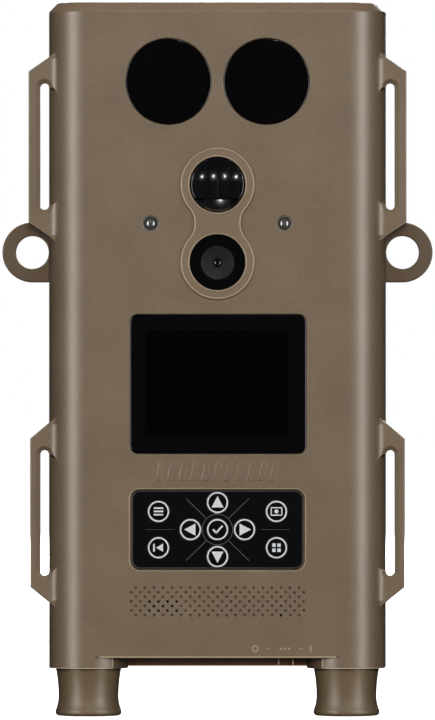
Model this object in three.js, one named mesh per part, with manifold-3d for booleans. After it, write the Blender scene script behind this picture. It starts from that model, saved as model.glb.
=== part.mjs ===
// Trail camera: a two-shell plastic housing with a battery column down each side,
// a camera, a motion sensor and infra-red windows above, a display and keys below.
// Millimetres, +Z up. Depth is measured from the front face: y = 0 there, +Y goes inwards.

import * as THREE from 'three';
import { mergeVertices } from 'three/addons/utils/BufferGeometryUtils.js';
import Module from 'manifold-3d';

// ---------- driving dimensions ----------
const GAP = 0.3;

const COLUMN_X = 31.4;          // battery column axis, either side of the middle
const COLUMN_Y = 9.6;
const COLUMN_R = 9.6;
const BORE_R = 8.5;
const BODY_TOP = 173.3;
const COLLAR_Z = 11.6;          // underside of the round battery collars
const LIP_Z = 14.35;            // underside of the front panel between them
const SKIRT_Z = 12.0;           // underside of the rear shell between them
const TOP_CHAMFER = 2.15;
const SPLIT_Y = 9.6;            // parting plane of the two shells
const BACK_Y = 27;
const HUMP_X = 22;
const HUMP_CORNER_R = 4;
const PROUD_Y = -2.8;           // tip of the motion sensor dome, the foremost point

const FRONT_WALL = 2.2;
const BACK_WALL = 2;
const CAVITY_X = 20.6;
const CAVITY_LOW = 18;
const CAVITY_HIGH = 169.5;
const BORE_TOP = 171.2;

const IR_X = 11.9;
const IR_Z = 154;
const IR_POCKET_R = 10.5;

const PIR_Z = 129;
const LENS_Z = 110.2;
const BEZEL_R = 9.04;
const BEZEL_WAIST_R = 5.7;
const BEZEL_HOLE_R = 6.8;
const BEZEL_PROUD = 0.8;

const EYELET_X = 16.2;          // status light on the left, light sensor on the right
const EYELET_Z = 119.6;
const EYELET_R = 1.85;

const DISPLAY = { width: 42.4, height: 33.7, z: 80.8, corner: 2 };
const KEYPAD = { width: 42.8, height: 19.6, z: 45.5, corner: 2.4 };
const KEY_R = 2.72;
const ARROW_STEP = 6.65;
const CORNER_KEY_X = 14.3;
const CORNER_KEY_Z = 4.4;

const LOOP_FRONT = 4.3;
const LOOP_SLOT_X = 43.1;
const UPPER_LOOP = { outer: 45.9, z: [116.5, 119.9, 156.6, 160], slot: [123, 153.8] };
const LOWER_LOOP = { outer: 45.5, z: [27.7, 31.3, 67.4, 71.2], slot: [34.1, 64.6] };

const EYE_X = 45.1;
const EYE_Z = 112.7;
const EYE_R = 7.34;
const EYE_HOLE_R = 4;
const EYE_FRONT = 10.1;
const EYE_BACK = 14.1;

const SLEEVE_R = 8.2;
const SLEEVE_BORE_R = 7.5;
const CELL_R = 7.05;
const CELL_PITCH = 50.5;
const FIRST_CELL_Z = 18;

const SWITCH_X = 16.6;
const SWITCH_Y = 5.4;
const SWITCH_TRAVEL = 2;
const KNOB_WIDTH = 4.1;
const PORT = { x: -5, y: 5.6, width: 27, depth: 5.4 };
const SPEAKER = { x: -9.6, z: 26.6 };
const TRIPOD_Y = 18.5;
const SCREW_X = 17;
const SCREW_Z = [31, 166];

const SIDES = { left: -1, right: 1 };

const COLOURS = {
  shell: [0x6f604e, 0.62, 0], darkShell: [0x5a4b3a, 0.65, 0], bezel: [0x7d6c58, 0.55, 0],
  gloss: [0x060607, 0.12, 0], rubber: [0x171717, 0.8, 0], board: [0x1d4a2c, 0.5, 0],
  metal: [0xb9bcc0, 0.3, 1], brass: [0xb08d4a, 0.35, 1], clear: [0xd8dde0, 0.1, 0],
  grey: [0x3c3d3f, 0.4, 0], cell: [0x2f3438, 0.35, 0.3],
};

// ---------- solids ----------
const wasm = await Module();
wasm.setup();

// A closed geometry with merged corners, no collapsed faces, and faces pointing out.
function closed(geometry) {
  const bare = geometry.clone();
  bare.deleteAttribute('normal');
  bare.deleteAttribute('uv');
  const merged = mergeVertices(bare, 1e-4);
  const place = merged.getAttribute('position');
  const index = merged.getIndex().array;
  const kept = [];
  const a = new THREE.Vector3();
  const b = new THREE.Vector3();
  const c = new THREE.Vector3();
  let volume = 0;
  for (let i = 0; i < index.length; i += 3) {
    const [p, q, r] = [index[i], index[i + 1], index[i + 2]];
    if (p === q || q === r || r === p) continue;
    kept.push(p, q, r);
    a.fromBufferAttribute(place, p);
    b.fromBufferAttribute(place, q);
    c.fromBufferAttribute(place, r);
    volume += a.dot(b.cross(c));
  }
  merged.setIndex(volume < 0 ? kept.reverse() : kept);
  return merged;
}

function solid(geometry) {
  const shape = closed(geometry);
  return new wasm.Manifold(new wasm.Mesh({
    numProp: 3,
    vertProperties: new Float32Array(shape.getAttribute('position').array),
    triVerts: new Uint32Array(shape.getIndex().array),
  }));
}

function geometryOf(body) {
  const mesh = body.getMesh();
  const geometry = new THREE.BufferGeometry();
  geometry.setAttribute('position', new THREE.BufferAttribute(mesh.vertProperties, 3));
  geometry.setIndex(new THREE.BufferAttribute(mesh.triVerts, 1));
  return geometry;
}

const join = (...bodies) => bodies.reduce((whole, piece) => whole.add(piece));
const cut = (body, ...tools) => tools.reduce((whole, tool) => whole.subtract(tool), body);

// A box given by its low and high corner.
function block(low, high) {
  const size = high.map((value, i) => value - low[i]);
  const middle = high.map((value, i) => (value + low[i]) / 2);
  return solid(new THREE.BoxGeometry(...size).translate(...middle));
}

// An outline drawn in X and Z, seen from the front, carried from y = near to y = far.
function plate(outline, near, far, curveSegments = 12) {
  const options = { depth: far - near, bevelEnabled: false, curveSegments };
  const geometry = new THREE.ExtrudeGeometry(outline, options);
  return solid(geometry.rotateX(Math.PI / 2).translate(0, far, 0));
}

// A profile of [radius, y] points turned about an axis along Y through (x, z).
function turnedY(profile, x, z, segments = 32) {
  const points = profile.map(([r, y]) => new THREE.Vector2(r, y));
  return solid(new THREE.LatheGeometry(points, segments).translate(x, 0, z));
}

// A profile of [radius, z] points turned about an upright axis through (x, y).
function turnedZ(profile, x, y, segments = 32) {
  const points = profile.map(([r, z]) => new THREE.Vector2(r, z));
  return solid(new THREE.LatheGeometry(points, segments).rotateX(Math.PI / 2).translate(x, y, 0));
}

const discY = (r, near, far, x, z, segments) =>
  turnedY([[0, near], [r, near], [r, far], [0, far]], x, z, segments);
const discZ = (r, low, high, x, y, segments) =>
  turnedZ([[0, low], [r, low], [r, high], [0, high]], x, y, segments);

// A rectangle with round corners, centred on (x, z).
function roundedRectangle(width, height, corner, x = 0, z = 0) {
  const [w, h] = [width / 2 - corner, height / 2 - corner];
  const outline = new THREE.Shape();
  outline.absarc(x + w, z + h, corner, 0, Math.PI / 2);
  outline.absarc(x - w, z + h, corner, Math.PI / 2, Math.PI);
  outline.absarc(x - w, z - h, corner, Math.PI, Math.PI * 1.5);
  outline.absarc(x + w, z - h, corner, Math.PI * 1.5, Math.PI * 2);
  outline.closePath();
  return outline;
}

// ---------- scene graph ----------
const assembly = new THREE.Group();
const trailCamera = new THREE.Group();
trailCamera.add(assembly);
assembly.position.y = -(PROUD_Y + BACK_Y) / 2;

function add(name, body, look, place = [0, 0, 0]) {
  const [color, roughness, metalness] = COLOURS[look];
  const material = new THREE.MeshStandardMaterial({ color, roughness, metalness });
  const mesh = new THREE.Mesh(body.isBufferGeometry ? body : geometryOf(body), material);
  mesh.name = name;
  mesh.position.set(...place);
  assembly.add(mesh);
}

// ---------- housing ----------
// Plan outline of the whole body: flat front, two round columns, a square hump behind.
function bodyOutline(inset) {
  const r = COLUMN_R - inset;
  const corner = HUMP_CORNER_R - inset;
  const humpX = HUMP_X - HUMP_CORNER_R;
  const humpY = BACK_Y - HUMP_CORNER_R;
  const outline = new THREE.Shape();
  outline.absarc(COLUMN_X, COLUMN_Y, r, -Math.PI / 2, Math.PI / 2);
  outline.lineTo(HUMP_X - inset, COLUMN_Y + r);
  outline.absarc(humpX, humpY, corner, 0, Math.PI / 2);
  outline.absarc(-humpX, humpY, corner, Math.PI / 2, Math.PI);
  outline.lineTo(-HUMP_X + inset, COLUMN_Y + r);
  outline.absarc(-COLUMN_X, COLUMN_Y, r, Math.PI / 2, Math.PI * 1.5);
  outline.closePath();
  return outline;
}

// The body block, its top edge chamfered all round.
const bodyBlock = solid(new THREE.ExtrudeGeometry(bodyOutline(TOP_CHAMFER), {
  depth: BODY_TOP - 2 * TOP_CHAMFER,
  bevelThickness: TOP_CHAMFER,
  bevelSize: TOP_CHAMFER,
  bevelSegments: 1,
  curveSegments: 12,
}).translate(0, 0, TOP_CHAMFER));

const collars = join(...Object.values(SIDES).map((side) =>
  discZ(COLUMN_R - 0.05, COLLAR_Z, LIP_Z + 1, side * COLUMN_X, COLUMN_Y, 24)));
const bores = join(...Object.values(SIDES).map((side) =>
  discZ(BORE_R, 0, BORE_TOP, side * COLUMN_X, COLUMN_Y, 20)));

// A strap loop on one side: a sloped-end ear with a tall slot beside the column.
function strapLoop(side, loop) {
  const [low, lowOuter, highOuter, high] = loop.z;
  const root = COLUMN_X + 6;
  const ear = new THREE.Shape();
  ear.moveTo(side * root, low - 2);
  ear.lineTo(side * (COLUMN_X + COLUMN_R), low);
  ear.lineTo(side * loop.outer, lowOuter);
  ear.lineTo(side * loop.outer, highOuter);
  ear.lineTo(side * (COLUMN_X + COLUMN_R), high);
  ear.lineTo(side * root, high + 2);
  ear.closePath();
  const [slotLow, slotHigh] = loop.slot;
  const slotWidth = LOOP_SLOT_X - (COLUMN_X + COLUMN_R);
  const inner = COLUMN_X;
  const slot = roundedRectangle(LOOP_SLOT_X - inner, slotHigh - slotLow, slotWidth / 2,
    side * (LOOP_SLOT_X + inner) / 2, (slotLow + slotHigh) / 2);
  return cut(plate(ear, LOOP_FRONT, SPLIT_Y - GAP / 2, 4), plate(slot, 0, SPLIT_Y + 1, 4));
}

// The bezel outline: two circles joined by hollow fillets of BEZEL_WAIST_R.
function bezelOutline(grow) {
  const middle = (PIR_Z + LENS_Z) / 2;
  const half = (PIR_Z - LENS_Z) / 2;
  const waistX = Math.sqrt((BEZEL_R + BEZEL_WAIST_R) ** 2 - half ** 2);
  const lean = Math.asin(half / (BEZEL_R + BEZEL_WAIST_R));
  const outline = new THREE.Shape();
  outline.absarc(0, PIR_Z, BEZEL_R + grow, -lean, Math.PI + lean);
  outline.absarc(-waistX, middle, BEZEL_WAIST_R - grow, lean, -lean, true);
  outline.absarc(0, LENS_Z, BEZEL_R + grow, Math.PI - lean, 2 * Math.PI + lean);
  outline.absarc(waistX, middle, BEZEL_WAIST_R - grow, Math.PI + lean, Math.PI - lean, true);
  outline.closePath();
  return outline;
}

// Sound holes: the through holes of the dimpled grille, two staggered rows and a third.
const GRILLE = { pitch: 2.2, row: 1.105, z: 27.94, r: 0.34 };
function soundHoles() {
  const holes = [];
  for (let row = 0; row < 3; row += 1) {
    const count = row === 1 ? 3 : 4;
    const start = row === 1 ? -15.3 : -16.4;
    for (let i = 0; i < count; i += 1) {
      const x = start + i * GRILLE.pitch;
      holes.push(discY(GRILLE.r, -1, FRONT_WALL + 1, x, GRILLE.z - row * GRILLE.row, 5));
    }
  }
  return join(...holes);
}

const portX = [PORT.x - PORT.width / 2, PORT.x + PORT.width / 2];
const portY = [PORT.y - PORT.depth / 2, PORT.y + PORT.depth / 2];
const switchSlot = KNOB_WIDTH / 2 + SWITCH_TRAVEL + 0.15;

function sealRing(near, far, grow) {
  const [width, height] = [2 * (CAVITY_X + 1.1), CAVITY_HIGH - CAVITY_LOW + 2.2];
  const z = (CAVITY_HIGH + CAVITY_LOW) / 2;
  const outer = roundedRectangle(width + 1 + grow, height + 1 + grow, 2, 0, z);
  const inner = roundedRectangle(width - 1 - grow, height - 1 - grow, 1, 0, z);
  return cut(plate(outer, near, far, 4), plate(inner, near - 1, far + 1, 4));
}

function screwPosts(near, far, r) {
  const posts = SCREW_Z.flatMap((z) => [-SCREW_X, SCREW_X].map((x) => discY(r, near, far, x, z, 10)));
  return join(...posts);
}

const frontHalf = block([-60, -5, LIP_Z], [60, SPLIT_Y - GAP / 2, 200]);
const frontCollars = collars.intersect(block([-60, -5, 0], [60, SPLIT_Y - GAP / 2, 200]));
const loops = Object.values(SIDES).flatMap((side) =>
  [UPPER_LOOP, LOWER_LOOP].map((loop) => strapLoop(side, loop)));
const bezelClearance = GAP / 2;
const bossRing = screwPosts(FRONT_WALL - 0.5, SPLIT_Y - GAP / 2, 3);

const frontShell = cut(
  join(
    cut(
      join(bodyBlock.intersect(frontHalf), frontCollars, ...loops),
      bores,
      block([-CAVITY_X, FRONT_WALL, CAVITY_LOW], [CAVITY_X, SPLIT_Y + 1, CAVITY_HIGH]),
    ),
    bossRing,
  ),
  screwPosts(FRONT_WALL + 1, SPLIT_Y + 1, 1.5),
  discY(IR_POCKET_R, -1, 1.35, -IR_X, IR_Z, 36),
  discY(IR_POCKET_R, -1, 1.35, IR_X, IR_Z, 36),
  discY(8.6, 0, FRONT_WALL + 0.1, -IR_X, IR_Z, 18),
  discY(8.6, 0, FRONT_WALL + 0.1, IR_X, IR_Z, 18),
  plate(bezelOutline(bezelClearance), -1, 1.15, 9),
  discY(6.9, 0, FRONT_WALL + 0.1, 0, PIR_Z, 20),
  discY(6.9, 0, FRONT_WALL + 0.1, 0, LENS_Z, 20),
  discY(EYELET_R, -1, FRONT_WALL + 0.1, -EYELET_X, EYELET_Z, 14),
  discY(EYELET_R, -1, FRONT_WALL + 0.1, EYELET_X, EYELET_Z, 14),
  plate(roundedRectangle(DISPLAY.width + GAP, DISPLAY.height + GAP, DISPLAY.corner, 0, DISPLAY.z),
    -1, 1.4, 4),
  block([-19, 0, DISPLAY.z - 14.8], [19, FRONT_WALL + 0.1, DISPLAY.z + 14.8]),
  plate(roundedRectangle(KEYPAD.width + GAP, KEYPAD.height + GAP, KEYPAD.corner, 0, KEYPAD.z),
    -1, 1.8, 4),
  block([-18.6, 0, KEYPAD.z - 9.5], [18.6, FRONT_WALL + 0.1, KEYPAD.z + 9.5]),
  soundHoles(),
  sealRing(SPLIT_Y - 1.1, SPLIT_Y + 1, GAP),
  block([portX[0], portY[0], 0], [portX[1], portY[1], CAVITY_LOW + 1]),
  block([SWITCH_X - switchSlot, SWITCH_Y - 1.9, 0], [SWITCH_X + switchSlot, SWITCH_Y + 1.9, CAVITY_LOW + 1]),
);
add('front_shell', frontShell, 'shell');

// Rear shell: hump, column backs, tripod boss, screw tunnels and the two lock eyes.
function lockEye(side) {
  const web = [[side * 36, EYE_FRONT, EYE_Z - EYE_R], [side * EYE_X, EYE_BACK, EYE_Z]];
  const low = web[0].map((value, i) => Math.min(value, web[1][i]));
  const high = web[0].map((value, i) => Math.max(value, web[1][i]));
  const ring = discY(EYE_R, EYE_FRONT, EYE_BACK, side * EYE_X, EYE_Z, 30);
  return cut(join(ring, block(low, high)), discY(EYE_HOLE_R, 0, 30, side * EYE_X, EYE_Z, 24));
}

const rearHalf = block([-60, SPLIT_Y + GAP / 2, SKIRT_Z], [60, 60, 200]);
const rearCollars = collars.intersect(block([-60, SPLIT_Y + GAP / 2, 0], [60, 60, 200]));
const skirtTrim = join(...Object.values(SIDES).map((side) =>
  block([side * COLUMN_X - COLUMN_R, SPLIT_Y, 0], [side * COLUMN_X + COLUMN_R, 60, LIP_Z])));
const rearShell = cut(
  join(
    cut(
      join(cut(bodyBlock.intersect(rearHalf), skirtTrim), rearCollars, lockEye(-1), lockEye(1)),
      bores,
      block([-CAVITY_X, 0, CAVITY_LOW], [CAVITY_X, BACK_Y - BACK_WALL, CAVITY_HIGH]),
    ),
    screwPosts(SPLIT_Y + GAP / 2, BACK_Y - 1, 3.6),
    discZ(6.4, CAVITY_LOW - 1, 22, 0, TRIPOD_Y, 14),
  ),
  screwPosts(0, BACK_Y + 1, 1.7),
  screwPosts(BACK_Y - 2.6, BACK_Y + 1, 2.9),
  discZ(4.8, 0, 20.9, 0, TRIPOD_Y, 16),
);
add('rear_shell', rearShell, 'darkShell');
add('housing_seal', sealRing(SPLIT_Y - 0.95, SPLIT_Y, 0), 'rubber');

// Self-tapping screws from behind, in counterbores.
const screwBody = cut(
  turnedY([[0, FRONT_WALL + 2], [1.2, FRONT_WALL + 2.6], [1.2, BACK_Y - 2.3], [2.5, BACK_Y - 2.3],
    [2.5, BACK_Y - 1.2], [1.9, BACK_Y - 0.6], [0, BACK_Y - 0.6]], 0, 0, 10),
  block([-1.5, BACK_Y - 1.4, -0.25], [1.5, BACK_Y, 0.25]),
  block([-0.25, BACK_Y - 1.4, -1.5], [0.25, BACK_Y, 1.5]),
);
for (const [level, z] of [['lower', SCREW_Z[0]], ['upper', SCREW_Z[1]]]) {
  for (const [sideName, side] of Object.entries(SIDES)) {
    add(`housing_screw_${level}_${sideName}`, geometryOf(screwBody), 'metal', [side * SCREW_X, 0, z]);
  }
}
add('tripod_insert', turnedZ([[0, 19.7], [0, 20.6], [4.5, 20.6], [4.5, 12.1], [3.05, 12.1],
  [3.05, 19.7], [0, 19.7]], 0, TRIPOD_Y, 20), 'brass');

// ---------- infra-red flash ----------
const ledSpots = [[0, 0]];
for (let i = 0; i < 6; i += 1) {
  ledSpots.push([4.1 * Math.cos(i * Math.PI / 3), 4.1 * Math.sin(i * Math.PI / 3)]);
}
const ledBoard = join(discY(8.3, 4, 5.4, 0, 0, 18),
  ...ledSpots.map(([x, z]) => turnedY([[0, 2.5], [1.1, 2.8], [1.5, 3.3], [1.5, 4.5], [0, 4.5]], x, z, 7)));
const irPane = discY(IR_POCKET_R - 0.2, 0.15, 1.15, 0, 0, 36);
for (const [sideName, side] of Object.entries(SIDES)) {
  add(`ir_window_${sideName}`, geometryOf(irPane), 'gloss', [side * IR_X, 0, IR_Z]);
  add(`led_array_${sideName}`, geometryOf(ledBoard), 'board', [side * IR_X, 0, IR_Z]);
}

// ---------- motion sensor and camera ----------
add('lens_bezel', cut(plate(bezelOutline(0), -BEZEL_PROUD, 0.9, 10),
  discY(BEZEL_HOLE_R, -5, 5, 0, PIR_Z, 28), discY(BEZEL_HOLE_R, -5, 5, 0, LENS_Z, 28)), 'bezel');

// Fresnel dome: a thin spherical cap whose edge sits inside the bezel.
const DOME_R = 6.6;
const DOME_RISE = 2.5;
const domeSphere = (DOME_R ** 2 + DOME_RISE ** 2) / (2 * DOME_RISE);
function domeArc(r, shift, steps) {
  const tilt = Math.asin(r / domeSphere);
  return Array.from({ length: steps + 1 }, (_, i) => {
    const angle = tilt * i / steps;
    return [domeSphere * Math.sin(angle), PROUD_Y + shift + domeSphere * (1 - Math.cos(angle))];
  });
}
add('pir_lens', turnedY([...domeArc(DOME_R, 0, 4), [DOME_R, 0.8],
  ...domeArc(5.9, 0.7, 3).reverse()], 0, PIR_Z, 24), 'gloss');
add('pir_sensor', turnedY([[0, 8], [3.9, 8], [4.1, 8.3], [4.1, 13], [4.6, 13], [4.6, 14.1], [0, 14.1]],
  0, PIR_Z, 14), 'metal');

add('lens_window', discY(6.6, -0.35, 0.5, 0, LENS_Z, 28), 'clear');
add('lens_barrel', turnedY([[1.35, 3.6], [3.9, 1.6], [4.2, 1.6], [4.2, 9], [1.35, 9], [1.35, 3.6]],
  0, LENS_Z, 22), 'grey');
add('lens_element', turnedY([[0, 3.9], [0.7, 4.05], [1.1, 4.5], [1.1, 5.4], [0, 5.4]], 0, LENS_Z, 12),
  'clear');
add('camera_holder', cut(
  block([-7.5, 6, LENS_Z - 6.5], [7.5, 14.1, LENS_Z + 6.5]),
  discY(4.5, 0, 9.4, 0, LENS_Z, 20),
  discY(2.6, 9, 15, 0, LENS_Z, 12),
  block([-9, 10, LENS_Z - 3.4], [9, 11, LENS_Z + 3.4]),
), 'grey');
add('ir_cut_filter', block([-6.9, 10.3, LENS_Z - 3], [-0.6, 10.7, LENS_Z + 3]), 'clear');
add('sensor_board', block([-18, 14.4, 100], [18, 15.6, 138]), 'board');

const eyelet = turnedY([[0, -0.4], [1, -0.2], [1.6, 0.4], [1.6, 2.45], [2.4, 2.45], [2.4, 3.4],
  [1.2, 3.4], [1.2, 13.9], [0, 13.9]], 0, 0, 14);
add('status_light', geometryOf(eyelet), 'clear', [-EYELET_X, 0, EYELET_Z]);
add('light_sensor', geometryOf(eyelet), 'clear', [EYELET_X, 0, EYELET_Z]);

// ---------- display and keypad ----------
add('display_window', plate(roundedRectangle(DISPLAY.width, DISPLAY.height, DISPLAY.corner, 0,
  DISPLAY.z), 0.15, 1.15, 4), 'gloss');
add('display_module', block([-20.2, 2.5, DISPLAY.z - 15.6], [20.2, 4.3, DISPLAY.z + 15.6]), 'grey');

const keys = [
  ['key_ok', 0, 0], ['key_up', 0, ARROW_STEP], ['key_down', 0, -ARROW_STEP],
  ['key_left', -ARROW_STEP, 0], ['key_right', ARROW_STEP, 0],
  ['key_menu', -CORNER_KEY_X, CORNER_KEY_Z], ['key_replay', -CORNER_KEY_X, -CORNER_KEY_Z],
  ['key_shot', CORNER_KEY_X, CORNER_KEY_Z], ['key_mode', CORNER_KEY_X, -CORNER_KEY_Z],
];
const KEY_FRONT = 0.25;
const KEY_REAR = 2.5;
const keyBody = turnedY([[0, KEY_FRONT], [1.6, KEY_FRONT + 0.04], [KEY_R - 0.25, KEY_FRONT + 0.2],
  [KEY_R, KEY_FRONT + 0.4], [KEY_R, KEY_REAR], [0, KEY_REAR]], 0, 0, 16);
add('keypad_frame', cut(
  plate(roundedRectangle(KEYPAD.width, KEYPAD.height, KEYPAD.corner, 0, KEYPAD.z), 0.5, 1.5, 4),
  ...keys.map(([, x, z]) => discY(KEY_R + 0.15, 0, 3, x, KEYPAD.z + z, 18)),
), 'gloss');
for (const [name, x, z] of keys) add(name, geometryOf(keyBody), 'gloss', [x, 0, KEYPAD.z + z]);
add('key_dome_sheet', join(
  block([-19.5, 3.9, KEYPAD.z - 10.2], [19.5, 4.4, KEYPAD.z + 10.2]),
  ...keys.map(([, x, z]) =>
    turnedY([[0, 3.1], [1.3, 3.3], [1.9, 4], [0, 4]], x, KEYPAD.z + z, 8)),
), 'metal');

// ---------- electronics ----------
add('main_board', block([-20, 4.7, 35], [20, 6.3, 99]), 'board');
add('speaker', turnedY([[0, 2.8], [5, 2.8], [5, 4.4], [3, 4.4], [3, 6.3], [0, 6.3]], SPEAKER.x,
  SPEAKER.z, 16), 'grey');
add('microphone', discY(2, 2.6, 4.4, 9, SPEAKER.z + 2, 12), 'metal');
add('usb_socket', cut(block([0.6, 3.1, 18.4], [8.4, 6.3, 25]), block([1.1, 3.6, 18], [7.9, 5.8, 24])),
  'metal');
add('card_socket', cut(block([-13.4, 6.7, 18.4], [1.4, 8.4, 33]), block([-12.7, 7.1, 18], [0.7, 8, 32])),
  'metal');

// ---------- mode switch and port cover ----------
add('switch_body', cut(block([SWITCH_X - 3.9, 2.8, 20], [SWITCH_X + 3.9, 8.2, 24]),
  block([SWITCH_X - 3.2, 4, 19], [SWITCH_X + 3.2, 6.8, 22])), 'metal');
add('mode_switch_knob', join(
  block([-KNOB_WIDTH / 2, SWITCH_Y - 1.6, SKIRT_Z + 0.2], [KNOB_WIDTH / 2, SWITCH_Y + 1.6, 18.5]),
  block([-1, SWITCH_Y - 1, 18], [1, SWITCH_Y + 1, 21.5]),
), 'grey', [SWITCH_X, 0, 0]);
add('port_cover', join(
  block([portX[0] + GAP, portY[0] + GAP, LIP_Z + 0.1], [portX[1] - GAP, portY[1] - GAP, LIP_Z + 1.3]),
  block([portX[0] + 1.2, portY[0] + 1, LIP_Z + 1.2], [portX[1] - 1.2, portY[1] - 1.1, LIP_Z + 2.8]),
), 'rubber');

// ---------- battery columns ----------
const sleeve = turnedZ([[SLEEVE_BORE_R, COLLAR_Z + 0.4], [SLEEVE_R, COLLAR_Z + 0.4], [SLEEVE_R, 170],
  [SLEEVE_BORE_R, 170], [SLEEVE_BORE_R, COLLAR_Z + 0.4]], 0, 0, 20);
const cell = turnedZ([[0, 0], [CELL_R, 0], [CELL_R, 49.2], [2.7, 49.2], [2.7, 50.3], [0, 50.3]], 0, 0, 12);
const contact = turnedZ([[0, 169.6], [6.8, 169.6], [6.8, 170], [2, 170], [2, 170.8], [0, 170.8]], 0, 0, 12);

// Screw cap that is also the foot: a waisted skirt, a seal groove and a ribbed plug.
const CAP_SHOULDER = COLLAR_Z - GAP;
const PLUG_TOP = 15.7;
const SEAL_R = 6.8;
const SEAL_WIRE_R = 0.5;
const SEAL_Z = CAP_SHOULDER + 1.1;
const capProfile = [[0, 0], [7.1, 0], [7.9, 0.5], [8.05, 1.1], [7.6, 2.6], [7.4, 5], [7.6, 9],
  [7.88, 10.7], [7.88, CAP_SHOULDER], [6.2, CAP_SHOULDER], [6.2, SEAL_Z + 0.7],
  [7.2, SEAL_Z + 0.7], [6.9, 13.9], [7.2, 14.5], [7, PLUG_TOP], [0, PLUG_TOP]];
const cap = cut(turnedZ(capProfile, 0, 0, 24), block([-6.2, -0.9, -1], [6.2, 0.9, 1.6]));
const sealSection = Array.from({ length: 7 }, (_, i) => {
  const angle = i * Math.PI / 3;
  return [SEAL_R + SEAL_WIRE_R * Math.cos(angle), SEAL_Z + SEAL_WIRE_R * Math.sin(angle)];
});
const seal = turnedZ(sealSection, 0, 0, 18);

// Contact spring on the cap: a cone of round wire.
const SPRING = { low: PLUG_TOP + 0.6, rise: 1.1, wide: 4.6, narrow: 2.2, turns: 2.25, wire: 0.3 };
class SpringCurve extends THREE.Curve {
  getPoint(t) {
    const angle = t * SPRING.turns * 2 * Math.PI;
    const r = THREE.MathUtils.lerp(SPRING.wide, SPRING.narrow, t);
    return new THREE.Vector3(r * Math.cos(angle), r * Math.sin(angle), SPRING.low + t * SPRING.rise);
  }
}
const wire = new THREE.Shape();
wire.absarc(0, 0, SPRING.wire, 0, 2 * Math.PI);
const spring = solid(new THREE.ExtrudeGeometry(wire, {
  steps: 28, curveSegments: 3, extrudePath: new SpringCurve(),
}));

for (const [sideName, side] of Object.entries(SIDES)) {
  const axis = [side * COLUMN_X, COLUMN_Y, 0];
  add(`battery_tube_${sideName}`, geometryOf(sleeve), 'grey', axis);
  for (let i = 0; i < 3; i += 1) {
    const place = [axis[0], axis[1], FIRST_CELL_Z + i * CELL_PITCH];
    add(`cell_${sideName}_${i + 1}`, geometryOf(cell), 'cell', place);
  }
  add(`battery_contact_${sideName}`, geometryOf(contact), 'metal', axis);
  add(`cap_seal_${sideName}`, geometryOf(seal), 'rubber', axis);
  add(`battery_cap_${sideName}`, geometryOf(cap), 'darkShell', axis);
  add(`cap_spring_${sideName}`, geometryOf(spring), 'metal', axis);
}

export default trailCamera;
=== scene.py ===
import math

import bmesh
import bpy
import numpy as np
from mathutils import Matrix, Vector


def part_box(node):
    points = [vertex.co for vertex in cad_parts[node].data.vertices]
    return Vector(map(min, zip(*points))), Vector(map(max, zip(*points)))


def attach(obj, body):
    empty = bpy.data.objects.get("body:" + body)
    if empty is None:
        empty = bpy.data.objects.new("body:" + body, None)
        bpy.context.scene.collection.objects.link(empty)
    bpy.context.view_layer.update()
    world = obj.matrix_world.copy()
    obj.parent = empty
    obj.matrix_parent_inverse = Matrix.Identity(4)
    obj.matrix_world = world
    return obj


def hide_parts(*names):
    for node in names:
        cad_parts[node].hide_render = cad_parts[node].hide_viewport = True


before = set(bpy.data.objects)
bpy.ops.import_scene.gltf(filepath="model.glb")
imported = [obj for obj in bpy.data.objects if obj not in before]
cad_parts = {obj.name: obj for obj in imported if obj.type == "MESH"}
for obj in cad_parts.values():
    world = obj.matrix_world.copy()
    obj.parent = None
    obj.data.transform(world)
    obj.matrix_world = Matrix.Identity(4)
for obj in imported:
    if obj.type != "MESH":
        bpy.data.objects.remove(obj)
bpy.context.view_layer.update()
MM = 0.001

# ---- Camera, floor and light ---------------------------------------------------------------
# A long lens level with the middle of the body, so that the front shows almost without
# perspective, a pale studio floor, and soft boxes placed to roll a highlight down each column.

FACE_Y = float(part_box("front_shell")[0].y)      # the flat front face, in metres
EYE_LEVEL = 0.0865
DISTANCE = 2.05
FRAME_HEIGHT = 0.1745

camera_data = bpy.data.cameras.new("camera")
camera_data.sensor_width = 36
camera_data.lens = 36 * DISTANCE / FRAME_HEIGHT
camera_data.clip_end = 50
camera = bpy.data.objects.new("camera", camera_data)
camera.location = (0, FACE_Y - DISTANCE, EYE_LEVEL)
camera.rotation_euler = (math.pi / 2, 0, 0)
bpy.context.scene.collection.objects.link(camera)
bpy.context.scene.camera = camera


def soft_box(name, place, size, power, matt=True, gloss=True):
    """An area light at place (metres) that faces the middle of the body. matt and gloss say
    whether soft shading and mirror-like reflections see it."""
    data = bpy.data.lights.new(name, "AREA")
    data.shape = "ELLIPSE"
    data.size, data.size_y = size
    data.energy = power
    lamp = bpy.data.objects.new(name, data)
    lamp.location = place
    aim = np.array([0, 0, 0.09]) - np.array(place)
    lamp.rotation_euler = (math.acos(-aim[2] / np.linalg.norm(aim)), 0,
                           math.atan2(-aim[0], aim[1]))
    lamp.visible_diffuse = matt
    lamp.visible_glossy = gloss
    lamp.visible_camera = False
    bpy.context.scene.collection.objects.link(lamp)


soft_box("front_key", (0, -1.9, 0.50), (0.9, 0.5), 24, gloss=False)
soft_box("left_strip", (-0.72, -0.68, 0.12), (0.34, 1.1), 13, matt=False)
soft_box("right_strip", (0.72, -0.68, 0.12), (0.34, 1.1), 13, matt=False)
soft_box("catch_light", (0.14, -1.4, 0.76), (0.11, 0.08), 3.8, matt=False)
soft_box("overhead", (0, -0.1, 1.3), (0.5, 0.5), 5, gloss=False)
soft_box("rear_key", (0.3, 1.9, 0.7), (0.9, 0.9), 45)

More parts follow.
